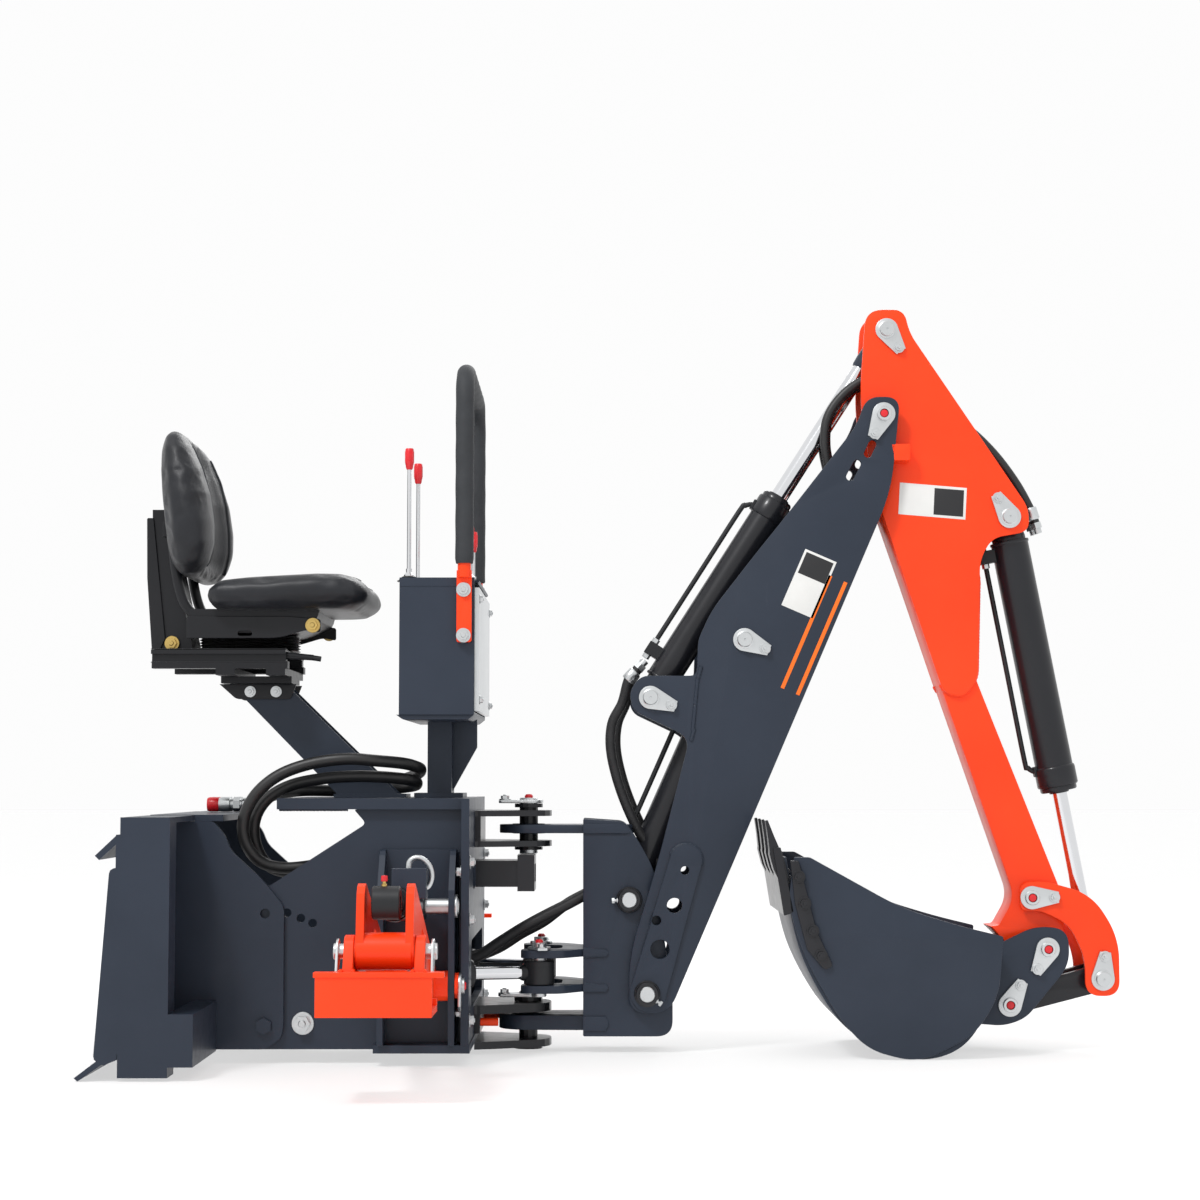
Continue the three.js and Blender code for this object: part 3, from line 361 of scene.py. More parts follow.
class Shape:
    """Gathers solids into one mesh. Each is drawn in the place set by at(), along its local Z."""

    def __init__(self):
        self.mesh = bmesh.new()
        self.place = Matrix.Identity(4)

    def at(self, origin, z_axis=(0, 0, 1), x_axis=(1, 0, 0)):
        z = Vector(z_axis).normalized()
        x = Vector(x_axis)
        if x.cross(z).length < 1e-6:
            x = z.orthogonal()
        x = (x - z * x.dot(z)).normalized()
        turned = Matrix((x, z.cross(x), z)).transposed().to_4x4()
        self.place = Matrix.Translation(origin) @ turned
        return self

    def on_pin(self, place, offset, side=1, angle=0.0):
        """At an (x, z) pivot, that far from the middle plane, facing out along Y."""
        direction = (math.cos(angle), 0, math.sin(angle))
        return self.at((place[0], side * offset, place[1]), (0, side, 0), direction)

    def add(self, points, faces):
        made = [self.mesh.verts.new(self.place @ Vector(p)) for p in points]
        for face in faces:
            self.mesh.faces.new([made[i] for i in face])
        return self

    def lathe(self, profile, sides=40):
        """Turns (radius, height) points about local Z; the run starts and ends on the axis."""
        points = []
        rings = []
        for radius, height in profile:
            if radius < 1e-7:
                rings.append([len(points)])
                points.append((0, 0, height))
                continue
            rings.append(list(range(len(points), len(points) + sides)))
            for i in range(sides):
                angle = 2 * math.pi * i / sides
                points.append((radius * math.cos(angle), radius * math.sin(angle), height))
        faces = []
        for low, high in zip(rings, rings[1:]):
            for i in range(sides):
                j = (i + 1) % sides
                if len(low) == 1 and len(high) > 1:
                    faces.append((low[0], high[i], high[j]))
                elif len(high) == 1 and len(low) > 1:
                    faces.append((low[i], low[j], high[0]))
                elif len(low) > 1:
                    faces.append((low[i], low[j], high[j], high[i]))
        return self.add(points, faces)

    def disc(self, radius, low, high, chamfer=0.001, sides=40):
        return self.lathe(
            [(0, low), (radius - chamfer, low), (radius, low + chamfer), (radius, high - chamfer),
             (radius - chamfer, high), (0, high)],
            sides,
        )

    def ring(self, inner, outer, low, high, chamfer=0.001, sides=40):
        """A collar or tube: a closed section turned about local Z."""
        section = [
            (inner, low), (outer - chamfer, low), (outer, low + chamfer), (outer, high - chamfer),
            (outer - chamfer, high), (inner, high),
        ]
        points = []
        for radius, height in section:
            for i in range(sides):
                angle = 2 * math.pi * i / sides
                points.append((radius * math.cos(angle), radius * math.sin(angle), height))
        faces = []
        count = len(section)
        for k in range(count):
            for i in range(sides):
                j = (i + 1) % sides
                m = (k + 1) % count
                faces.append((k * sides + i, k * sides + j, m * sides + j, m * sides + i))
        return self.add(points, faces)

    def prism(self, points, low, high):
        """A run of local (x, y) points, drawn out along local Z."""
        count = len(points)
        ends = [(p[0], p[1], height) for height in (low, high) for p in points]
        faces = [tuple(range(count)), tuple(range(count, 2 * count))]
        for i in range(count):
            j = (i + 1) % count
            faces.append((i, j, count + j, count + i))
        return self.add(ends, faces)

    def box(self, low, high):
        corners = [(low[0], low[1]), (high[0], low[1]), (high[0], high[1]), (low[0], high[1])]
        return self.prism(corners, low[2], high[2])

    def bolt(self, size, low=0.0, washer=True):
        """A hex head standing on local Z, size across its corners."""
        if washer:
            self.disc(size * 0.72, low, low + size * 0.12, size * 0.03, 24)
            low += size * 0.12
        hexagon = circle((0, 0), size / 2, 6)
        self.prism(hexagon, low, low + size * 0.38)
        return self.disc(size * 0.24, low + size * 0.38, low + size * 0.5, size * 0.04, 16)

    def plate(self, points, low, high, holes=(), edge=0.0012):
        """A flat plate with holes and softened edges, in local X and Y."""
        curve = bpy.data.curves.new("plate", "CURVE")
        curve.dimensions = "2D"
        curve.fill_mode = "BOTH"
        curve.extrude = (high - low) / 2 - edge
        curve.bevel_depth = edge
        curve.bevel_resolution = 1
        curve.offset = -edge
        for run in (points, *holes):
            spline = curve.splines.new("POLY")
            spline.points.add(len(run) - 1)
            for target, p in zip(spline.points, run):
                target.co = (p[0], p[1], 0, 1)
            spline.use_cyclic_u = True
        holder = bpy.data.objects.new("plate", curve)
        mesh = bpy.data.meshes.new_from_object(holder)
        mesh.transform(self.place @ Matrix.Translation((0, 0, (low + high) / 2)))
        self.mesh.from_mesh(mesh)
        bpy.data.objects.remove(holder)
        bpy.data.curves.remove(curve)
        bpy.data.meshes.remove(mesh)
        return self

    def plate_xz(self, points, low, high, holes=(), edge=0.0012):
        """A plate of world (x, z) points between two values of Y; the place stays as it was."""
        kept = self.place
        self.at((0, 0, 0), (0, -1, 0), (1, 0, 0))
        self.plate(points, -high, -low, holes, edge)
        self.place = kept
        return self

    def pair(self, points, halves, holes=(), edge=0.0012):
        """The same plate on both sides of the middle plane."""
        self.plate_xz(points, halves[0], halves[1], holes, edge)
        return self.plate_xz(points, -halves[1], -halves[0], holes, edge)

    def one_side(self, points, sign, halves, holes=(), edge=0.001):
        """A plate on one side of the middle plane; sign is -1 on the near side."""
        return self.plate_xz(points, *sorted(sign * y for y in halves), holes, edge)

    def tube(self, points, radius, sides=14):
        """A round bar along a run of points; radius is a number or a list of one per point."""
        points = [Vector(p) for p in points]
        radii = radius if isinstance(radius, list) else [radius] * len(points)
        heading = (points[1] - points[0]).normalized()
        across = heading.orthogonal().normalized()
        rings = []
        for i, point in enumerate(points):
            before = points[max(i - 1, 0)]
            after = points[min(i + 1, len(points) - 1)]
            new_heading = (after - before).normalized()
            across = (heading.rotation_difference(new_heading) @ across).normalized()
            heading = new_heading
            up = heading.cross(across)
            for k in range(sides):
                angle = 2 * math.pi * k / sides
                rings.append(point + radii[i] * (math.cos(angle) * across + math.sin(angle) * up))
        faces = [tuple(range(sides)), tuple(range(len(rings) - sides, len(rings)))]
        for i in range(len(points) - 1):
            for k in range(sides):
                j = (k + 1) % sides
                low = i * sides
                faces.append((low + k, low + j, low + sides + j, low + sides + k))
        return self.add(rings, faces)

    def weld(self, points, size=0.0035):
        """A rippled bead along a run of points."""
        run = resample(points, size * 0.8)
        swells = [0.85 + 0.3 * abs(math.sin(i * 1.1)) + 0.1 * random.random() for i in range(len(run))]
        radii = [size * swell for swell in swells]
        return self.tube(run, radii, 8)

    def strip(self, points, thickness, halves, edge=0.001):
        """A bent plate along a run of world (x, z) points, to the left of it for a positive thickness."""
        points = [Vector(p) for p in points]
        left = []
        for i, point in enumerate(points):
            along = (points[min(i + 1, len(points) - 1)] - points[max(i - 1, 0)]).normalized()
            left.append(point + Vector((-along.y, along.x)) * thickness)
        return self.plate_xz(points + left[::-1], halves[0], halves[1], (), edge)

    def done(self, name, body, slot, replaces=(), material=None, edge=0.0, smooth=38):
        """Makes the piece, gives it its finish and lets it ride on its body."""
        bmesh.ops.remove_doubles(self.mesh, verts=self.mesh.verts, dist=1e-6)
        bmesh.ops.recalc_face_normals(self.mesh, faces=self.mesh.faces)
        mesh = bpy.data.meshes.new(name)
        self.mesh.to_mesh(mesh)
        self.mesh.free()
        for polygon in mesh.polygons:
            polygon.use_smooth = True
        mesh.set_sharp_from_angle(angle=math.radians(smooth))
        return settle(bpy.data.objects.new(name, mesh), body, slot, replaces, material, edge)


def settle(obj, body, slot, replaces=(), material=None, edge=0.0):
    """Links a piece into the scene with its finish, edges and body."""
    if obj.name not in bpy.context.scene.collection.objects:
        bpy.context.scene.collection.objects.link(obj)
    obj.data.materials.clear()
    obj.data.materials.append(MATERIAL[material or slot])
    if edge:
        soften(obj, edge)
    if replaces:
        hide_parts(*replaces)
    if body is not None:
        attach(obj, body)
    return obj


def resample(points, step):
    """Points at an even spacing along a run."""
    points = [Vector(p) for p in points]
    run = [points[0]]
    left = step
    for a, b in zip(points, points[1:]):
        length = (b - a).length
        while left <= length:
            run.append(a.lerp(b, left / length))
            left += step
        left -= length
    run.append(points[-1])
    return run


def raised(points, y):
    """World (x, z) points, lifted to a value of Y."""
    return [(p[0], y, p[1]) for p in points]


# ---------------------------------------------------------------- pins
FLAG_LENGTH = 0.047


def flag_outline(length=FLAG_LENGTH, big=0.0245, small=0.0115):
    """The teardrop of a pin's retaining plate, with its long end along local X."""
    lean = math.acos((big - small) / length)
    points = []
    for step in range(25):
        angle = lean + (2 * math.pi - 2 * lean) * step / 24
        points.append(Vector((big * math.cos(angle), big * math.sin(angle))))
    for side in SIDES:
        points.append(Vector((length + small * 0.85, side * small)))
    return points


def pin_end(zinc, red, place, face, angle, capped):
    """A pin's end on both sides of the arm: retaining plate, bolt, and a pin end or a grease cap."""
    for side in SIDES:
        zinc.on_pin(place, face + 0.0004, side, angle)
        zinc.plate(flag_outline(), 0, 0.006, edge=0.0009)
        bolt_at = (place[0] + FLAG_LENGTH * math.cos(angle), place[1] + FLAG_LENGTH * math.sin(angle))
        zinc.on_pin(bolt_at, face + 0.006, side)
        zinc.bolt(0.0165)
        zinc.on_pin(place, face + 0.006, side)
        if capped:
            zinc.ring(0.0095, 0.0155, -0.002, 0.009, 0.0012)
            red.on_pin(place, face + 0.006, side)
            red.lathe([(0, -0.002), (0.009, -0.002), (0.009, 0.005), (0.0075, 0.0078), (0.004, 0.009),
                       (0, 0.0093)], 28)
        else:
            zinc.lathe(
                [(0, -0.001), (0.019, -0.001), (0.019, 0.003), (0.0165, 0.0035), (0.016, 0.004),
                 (0.016, 0.0105), (0.0145, 0.012), (0.002, 0.012), (0.0012, 0.0105), (0, 0.0105)]
            )


def collared_end(dark, zinc, place, face, angle):
    """A pin held by a collar with a cross bolt, on both sides."""
    for side in SIDES:
        dark.on_pin(place, face + 0.0004, side)
        dark.ring(0.0165, 0.0275, 0, 0.005, 0.0015)
        dark.ring(0.0165, 0.0245, 0.004, 0.017, 0.002)
        zinc.on_pin(place, face, side)
        zinc.disc(PIN_R, 0, 0.021, 0.0015)
        along = (math.cos(angle), 0, math.sin(angle))
        start = Vector((place[0], side * (face + 0.0105), place[1])) + Vector(along) * 0.022
        zinc.at(start, along, (0, side, 0))
        zinc.lathe([(0, 0), (0.0055, 0), (0.0055, 0.004), (0.0032, 0.005), (0.0032, 0.0105), (0, 0.0105)], 16)
        zinc.at(start + Vector(along) * 0.009, along, (0, side, 0))
        zinc.prism(circle((0, 0), 0.0062, 6), 0, 0.0055)


def make_pins():
    bodies = {name: (Shape(), Shape()) for name in ("boom", "dipper", "curved_links", "bucket")}
    ends = [
        ("boom", DIPPER_CYL_BASE, BOOM_Y[1], -20, False),
        ("boom", BOOM_CYL_ROD, BOOM_Y[1], -24, False),
        ("boom", BOOM_TIP, BOOM_Y[1], -115, True),
        ("dipper", DIPPER_CYL_ROD, DIPPER_Y[1], -57, False),
        ("dipper", BUCKET_CYL_BASE, DIPPER_Y[1], 121, False),
        ("curved_links", LINK_PIVOT, LINK_Y[1], 1, True),
        ("curved_links", LINK_END, LINK_Y[1], 84, False),
        ("bucket", BUCKET_PIVOT, EAR_Y[1], -118, True),
        ("bucket", TIPPING_PIN, EAR_Y[1], 61, True),
    ]
    for body, place, face, degrees, capped in ends:
        pin_end(*bodies[body], place, face, math.radians(degrees), capped)
    through = {"boom": (BOOM_TIP, BOOM_Y[1]), "bucket": (BUCKET_PIVOT, EAR_Y[1])}
    stand_for = {"boom": ("boom_tip_pin",), "bucket": ("bucket_pivot_pin",)}
    for body, (place, face) in through.items():
        bodies[body][0].on_pin(place, 0).disc(PIN_R, -face, face)
    bodies["boom"][0].on_pin(BOOM_CYL_ROD, 0).disc(PIN_R, -BOOM_Y[1], BOOM_Y[1])
    bodies["boom"][0].on_pin(DIPPER_CYL_BASE, 0).disc(PIN_R, -BOOM_Y[1], BOOM_Y[1])
    bodies["dipper"][0].on_pin(DIPPER_CYL_ROD, 0).disc(PIN_R, -DIPPER_Y[1], DIPPER_Y[1])
    bodies["dipper"][0].on_pin(BUCKET_CYL_BASE, 0).disc(PIN_R, -DIPPER_Y[1], DIPPER_Y[1])
    for body, (zinc, red) in bodies.items():
        zinc.done(f"{body}_pins", body, "zinc_plate", stand_for.get(body, ()))
        if body != "dipper":
            red.done(f"{body}_grease_caps", body, "red_plastic")

    collar, foot = Shape(), Shape()
    collared_end(collar, foot, BOOM_FOOT, DOUBLER_Y, math.radians(-35))
    foot.on_pin(BOOM_FOOT, 0).disc(PIN_R, -DOUBLER_Y, DOUBLER_Y)
    collar.done("boom_foot_collars", "boom", "dark_paint")
    foot.done("boom_foot_pin_steel", "boom", "zinc_plate", ("boom_foot_pin",))
    collar, base = Shape(), Shape()
    collared_end(collar, base, BOOM_CYL_BASE, MAST_Y[1], math.radians(182))
    base.on_pin(BOOM_CYL_BASE, 0).disc(PIN_R, -MAST_Y[1], MAST_Y[1])
    collar.done("boom_cylinder_collars", "mast", "dark_paint")
    base.done("boom_cylinder_pin", "mast", "zinc_plate")


# ---------------------------------------------------------------- cylinders
def cylinder_place(shape, start, end):
    """Local Z runs from start to end, (x, z) points; local X points to its right, seen from the near side."""
    along = Vector((end[0] - start[0], 0, end[1] - start[1]))
    return shape.at((start[0], 0, start[1]), along, (along.z, 0, -along.x))


def cylinder_barrel(shape, radius, length, eye, gland):
    """A welded barrel with a rounded foot, weld rings and a screwed gland."""
    shape.lathe(
        [(0, eye * 0.5), (radius * 0.74, eye * 0.5), (radius * 0.84, eye * 0.8),
         (radius - 0.004, eye + 0.004), (radius - 0.004, eye + 0.011), (radius + 0.0012, eye + 0.012),
         (radius + 0.002, eye + 0.015), (radius + 0.0012, eye + 0.018), (radius, eye + 0.019),
         (radius, length - 0.054), (radius + 0.0025, length - 0.052), (radius + 0.0035, length - 0.048),
         (radius + 0.0035, length - 0.014), (radius + 0.0018, length - 0.011),
         (radius - 0.001, length - 0.010), (radius - 0.001, length - 0.003), (radius - 0.003, length),
         (gland + 0.006, length), (gland + 0.0045, length + 0.004), (gland + 0.001, length + 0.0045),
         (gland + 0.001, length - 0.02), (0, length - 0.02)],
        48,
    )


def rod_profile(radius, length, end):
    return [(0, -length), (radius, -length), (radius, -end), (0, -end)]


def arm_cylinder(name, bodies, start, end, barrel, rod, nodes):
    """One of the arm's three cylinders; barrel and rod hold radii, lengths and eye sizes in metres."""
    shape = Shape()
    cylinder_place(shape, start, end)
    cylinder_barrel(shape, barrel["radius"], barrel["length"], barrel["eye"], rod["radius"])
    shape.on_pin(start, 0)
    half = barrel["half"]
    shape.ring(PIN_R, barrel["eye"], -half, half, 0.002)
    shape.done(f"{name}_barrel", bodies[0], "dark_paint", (nodes[0],))

    shape = Shape()
    span = math.dist(start, end)
    cylinder_place(shape, start, end)
    shape.lathe([(r, span + h) for r, h in rod_profile(rod["radius"], rod["length"], rod["neck"])], 48)
    shape.done(f"{name}_rod", bodies[1], "chrome_plate", (nodes[1],))

    shape = Shape()
    cylinder_place(shape, start, end)
    neck = span - rod["neck"]
    radius = rod["radius"]
    shape.lathe(
        [(0, neck - 0.004), (radius + 0.0012, neck - 0.004), (radius + 0.003, neck),
         (radius + 0.004, neck + 0.02), (radius + 0.002, span - 0.018), (0, span - 0.018)],
        48,
    )
    shape.on_pin(end, 0)
    shape.ring(PIN_R, rod["eye"], -rod["half"], rod["half"], 0.002)
    shape.done(f"{name}_rod_eye", bodies[1], rod.get("slot", "dark_paint"))


def steel_line(name, body, start, end, side, from_to, offset, y=0.0):
    """The pipe that feeds a cylinder's rod end, with its port block and nuts."""
    pipe, block = Shape(), Shape()
    low, high = from_to
    reach, radius = offset
    cylinder_place(pipe, start, end)
    cylinder_place(block, start, end)
    route = smooth_run(
        [(side * reach, y, low), (side * reach, y, low + 0.03), (side * reach, y, (low + high) / 2),
         (side * reach, y, high - 0.028), (side * (reach - 0.004), y, high - 0.012),
         (side * (reach - 0.014), y, high - 0.002), (side * (reach - 0.026), y, high)],
        6,
    )
    pipe.tube(route, radius, 14)
    near_end, far_end = sorted((side * (reach - 0.026), side * (reach + 0.0095)))
    block.box((near_end, y - 0.015, low - 0.026), (far_end, y + 0.015, low + 0.002))
    boss_start, boss_end = sorted((side * (reach - 0.034), side * (reach - 0.014)))
    block.box((boss_start, y - 0.011, high - 0.011), (boss_end, y + 0.011, high + 0.011))
    pipe.done(f"{name}_pipe", body, "dark_paint", (), "cast")
    block.done(f"{name}_port_block", body, "dark_paint", (), "cast", 0.0012)
    fitting = Shape()
    cylinder_place(fitting, start, end)
    for height in (low + 0.002, low - 0.036):
        saved = fitting.place.copy()
        fitting.place = saved @ Matrix.Translation((side * reach, y, height))
        fitting.prism(circle((0, 0), 0.0085, 6), 0, 0.01)
        fitting.place = saved
    fitting.done(f"{name}_pipe_nuts", body, "zinc_plate", (), None, 0.0006)


def make_arm_cylinders():
    arm_cylinder(
        "boom_ram", ("boom_barrel", "boom_rod"), BOOM_CYL_BASE, BOOM_CYL_ROD,
        {"radius": 0.038, "length": 0.470, "eye": 0.034, "half": 0.034},
        {"radius": 0.019, "length": 0.530, "neck": 0.040, "eye": 0.027, "half": 0.025},
        ("boom_cylinder_barrel", "boom_cylinder_rod"),
    )
    arm_cylinder(
        "dipper_ram", ("dipper_barrel", "dipper_rod"), DIPPER_CYL_BASE, DIPPER_CYL_ROD,
        {"radius": 0.035, "length": 0.515, "eye": 0.034, "half": 0.040},
        {"radius": 0.019, "length": 0.520, "neck": 0.088, "eye": 0.029, "half": 0.025, "slot": "grey_paint"},
        ("dipper_cylinder_barrel", "dipper_cylinder_rod"),
    )
    arm_cylinder(
        "bucket_ram", ("bucket_barrel", "bucket_rod"), BUCKET_CYL_BASE, LINK_END,
        {"radius": 0.040, "length": 0.594, "eye": 0.036, "half": 0.042},
        {"radius": 0.016, "length": 0.500, "neck": 0.040, "eye": 0.029, "half": 0.025},
        ("bucket_cylinder_barrel", "bucket_cylinder_rod"),
    )
    steel_line("dipper_ram", "dipper_barrel", DIPPER_CYL_BASE, DIPPER_CYL_ROD, -1, (0.105, 0.475),
               (0.056, 0.0055))
    steel_line("bucket_ram", "bucket_barrel", BUCKET_CYL_BASE, LINK_END, 1, (0.085, 0.545), (0.060, 0.0055))
    steel_line("boom_ram", "boom_barrel", BOOM_CYL_BASE, BOOM_CYL_ROD, -1, (0.100, 0.430), (0.058, 0.0055))


def side_cylinder(name, bodies, frame_of, barrel, rod, eye_half, nodes):
    """A swing or stabiliser cylinder; frame_of sets a shape at its base, Z along it and X across its pins."""
    span = rod["span"]
    shape = Shape()
    frame_of(shape)
    cylinder_barrel(shape, barrel["radius"], barrel["length"], barrel["eye"], rod["radius"])
    base = shape.place.copy()
    shape.place = base @ Matrix.Rotation(math.pi / 2, 4, "Y")
    shape.ring(PIN_R, barrel["eye"], -eye_half[0], eye_half[0], 0.002)
    shape.done(f"{name}_barrel", bodies[0], "dark_paint", (nodes[0],))

    shape = Shape()
    shape.place = base @ Matrix.Translation((0, 0, span))
    shape.lathe(rod_profile(rod["radius"], rod["length"], rod["neck"]), 40)
    shape.done(f"{name}_rod", bodies[1], "chrome_plate", (nodes[1],))

    shape = Shape()
    shape.place = base @ Matrix.Translation((0, 0, span))
    radius = rod["radius"]
    shape.lathe([(0, -rod["neck"] - 0.003), (radius + 0.002, -rod["neck"] - 0.003),
                 (radius + 0.004, -rod["neck"] + 0.004), (radius + 0.004, -0.014), (0, -0.014)], 40)
    shape.place = base @ Matrix.Translation((0, 0, span)) @ Matrix.Rotation(math.pi / 2, 4, "Y")
    shape.ring(PIN_R - 0.002, rod["eye"], -eye_half[1], eye_half[1], 0.002)
    shape.done(f"{name}_rod_eye", bodies[1], "dark_paint", (), "cast")
    return base


SWING_PIN = (-0.175, 0.100, 0.169)
SWING_BASE = (-0.600, 0.200, 0.169)
STABILIZER_X = -0.428
STABILIZER_BASE = (0.330, 0.318)
STABILIZER_ROD = (0.880, 0.352)
STABILIZER_FOOT = (0.330, 0.160)
PAD_PIN = (0.890, 0.267)


def make_side_cylinders():
    for side in SIDES:
        word = SIDE_NAME[side]

        def swing(shape):
            start = Vector((SWING_BASE[0], side * SWING_BASE[1], SWING_BASE[2]))
            end = Vector((SWING_PIN[0], side * SWING_PIN[1], SWING_PIN[2]))
            shape.at(start, end - start, (0, 0, 1))

        span = math.dist(SWING_BASE, SWING_PIN)
        side_cylinder(
            f"swing_ram_{word}", (f"swing_barrel_{word}", f"swing_rod_{word}"), swing,
            {"radius": 0.030, "length": 0.296, "eye": 0.028},
            {"radius": 0.0135, "length": 0.290, "neck": 0.036, "eye": 0.032, "span": span}, (0.025, 0.025),
            (f"swing_cylinder_barrel_{word}", f"swing_cylinder_rod_{word}"),
        )
        pin = Shape()
        pin.at((SWING_PIN[0], side * SWING_PIN[1], SWING_PIN[2]))
        pin.disc(0.0158, -0.050, 0.062)
        pin.at((SWING_PIN[0], side * SWING_PIN[1], 0.2163), (0, 0, 1), (0.2, side, 0))
        pin.plate(flag_outline(0.034, 0.024, 0.010), 0, 0.006)
        pin.at((SWING_PIN[0] + 0.006, side * (SWING_PIN[1] + 0.0325), 0.2223))
        pin.bolt(0.015)
        pin.done(f"swing_ram_pin_{word}", f"swing_rod_{word}", "zinc_plate")
        cap = Shape()
        cap.at((SWING_PIN[0], side * SWING_PIN[1], 0.231))
        cap.lathe([(0, -0.002), (0.008, -0.002), (0.008, 0.004), (0.0055, 0.0065), (0, 0.007)], 24)
        cap.at((SWING_PIN[0] - 0.030, side * SWING_PIN[1] - 0.012, 0.169), (-0.9, -0.4, 0), (0, 0, 1))
        cap.lathe([(0, -0.002), (0.006, -0.002), (0.006, 0.008), (0.004, 0.0105), (0, 0.011)], 20)
        cap.done(f"swing_grease_caps_{word}", f"swing_rod_{word}", "red_plastic")

        def stabilizer(shape):
            start = Vector((STABILIZER_X, side * STABILIZER_BASE[0], STABILIZER_BASE[1]))
            end = Vector((STABILIZER_X, side * STABILIZER_ROD[0], STABILIZER_ROD[1]))
            shape.at(start, end - start, (1, 0, 0))

        span = math.dist(STABILIZER_BASE, STABILIZER_ROD)
        base = side_cylinder(
            f"stabilizer_ram_{word}", (f"stabilizer_barrel_{word}", f"stabilizer_rod_{word}"), stabilizer,
            {"radius": 0.030, "length": 0.396, "eye": 0.028},
            {"radius": 0.015, "length": 0.335, "neck": 0.036, "eye": 0.030, "span": span}, (0.032, 0.025),
            (f"stabilizer_barrel_{word}", f"stabilizer_rod_{word}"),
        )
        pin = Shape()
        pin.place = base @ Matrix.Rotation(math.pi / 2, 4, "Y")
        pin.disc(PIN_R, -0.070, 0.094)
        for face, out in ((-0.0655, -1), (0.0895, 1)):
            pin.place = base @ Matrix.Translation((out * abs(face), 0,
                                                   0)) @ Matrix.Rotation(out * math.pi / 2, 4, "Y")
            pin.plate(flag_outline(0.036, 0.024, 0.010), 0, 0.006)
            pin.ring(0.0095, 0.0155, 0.005, 0.0085)
        pin.done(f"stabilizer_ram_pin_{word}", f"stabilizer_barrel_{word}", "zinc_plate")
        make_ram_port(base, side)
        make_ram_nipple(side)


def make_ram_port(base, side):
    """The block on top of a stabiliser barrel's outer end, with its bent steel pipe."""
    word = SIDE_NAME[side]
    block = Shape()
    block.place = base @ Matrix.Translation((0, 0, 0.352))
    low, high = sorted((-side * 0.010, -side * 0.066))
    block.box((-0.006, low, -0.028), (0.058, high, 0.028))
    block.done(f"stabilizer_port_{word}", f"stabilizer_barrel_{word}", "grey_paint", (), None, 0.0015)
    pipe = Shape()
    pipe.place = base @ Matrix.Translation((0, 0, 0.352))
    bend = [(0.022, 0.060), (0.024, 0.078), (0.034, 0.086), (0.048, 0.084), (0.062, 0.070), (0.066, 0.050),
            (0.060, 0.034), (0.050, 0.030)]
    pipe.tube(smooth_run([(x, -side * y, -0.012) for x, y in bend], 5), 0.0052, 14)
    pipe.done(f"stabilizer_port_pipe_{word}", f"stabilizer_barrel_{word}", "zinc_plate")


def make_ram_nipple(side):
    """The grease nipple on a stabiliser rod's eye and its red cap."""
    word = SIDE_NAME[side]
    top = (STABILIZER_X - 0.004, side * STABILIZER_ROD[0], STABILIZER_ROD[1] + 0.029)
    nipple = Shape().at(top)
    nipple.lathe([(0, 0), (0.0052, 0), (0.0052, 0.004), (0.0032, 0.005), (0.0032, 0.010), (0, 0.010)], 16)
    nipple.done(f"stabilizer_nipple_{word}", f"stabilizer_rod_{word}", "zinc_plate", (), "gold")
    cap = Shape().at(top)
    cap.lathe([(0, 0.009), (0.0055, 0.009), (0.0062, 0.012), (0.0055, 0.019), (0, 0.020)], 18)
    cap.done(f"stabilizer_nipple_cap_{word}", f"stabilizer_rod_{word}", "red_plastic")


# ---------------------------------------------------------------- arm plates
def make_boom():
    side = outline([
        (13, 84, 40), (97, 84, 36), (571, 1182, 60), (592, 1384, 42), (520, 1384, 40),
        (500, 1325, 30), (339, 1119, 60), (284, 1051, 60), (189, 929, 30), (160, 866, 16),
        (157, 790, 16), (38, 790, 44), (14, 756, 34), (22, 716, 34), (142, 659, 30),
        (69, 380, 90), (14, 205, 60),
    ])
    slots = [
        wrapped([(0.484, 1.213, 0.0085), (0.499, 1.241, 0.0085)], 20),
        wrapped([(0.522, 1.262, 0.0085), (0.532, 1.283, 0.0085)], 20),
    ]
    holes = [circle(at, radius) for at, radius in (
        ((0.1308, 0.381), 0.009), ((0.1086, 0.308), 0.016), ((0.0706, 0.277), 0.010), ((0.078, 0.217), 0.020),
    )]
    shape = Shape()
    shape.pair(side, BOOM_Y, [*slots, *holes], 0.0015)
    doubler = wrapped([(BOOM_FOOT[0] + 0.002, BOOM_FOOT[1] + 0.002, 0.038), (0.133, 0.402, 0.034)])
    shape.pair(doubler, (BOOM_Y[1] - 0.001, DOUBLER_Y), holes, 0.0012)
    front = [(0.151, 0.215), (0.525, 1.082)]
    shape.strip(front, 0.010, (-BOOM_Y[0] - 0.001, BOOM_Y[0] + 0.001))
    along = (Vector(DIPPER_CYL_ROD) - Vector(DIPPER_CYL_BASE)).normalized()
    off = Vector((along.y, -along.x)) * 0.058
    back = [Vector(DIPPER_CYL_BASE) + along * reach + off for reach in (0.300, 0.480)]
    shape.strip(back, 0.010, (-BOOM_Y[0] - 0.001, BOOM_Y[0] + 0.001))
    for sign in SIDES:
        y = sign * (BOOM_Y[1] + 0.0005)
        upper = [p for p in doubler if p.y > 0.30]
        upper.sort(key=lambda p: math.atan2(p.y - 0.25, p.x - 0.09), reverse=True)
        shape.weld(raised(upper, y))
        for corner in ((0.142, 0.659), (0.157, 0.790)):
            shape.weld([(corner[0] + 0.002, y, corner[1] - 0.006), (corner[0] + 0.009, y, corner[1] + 0.02)])
        shape.weld([(0.1475, y, 0.672), (0.1585, y, 0.786)])
    shape.done("boom_plates", "boom", "grey_paint", ("boom",))


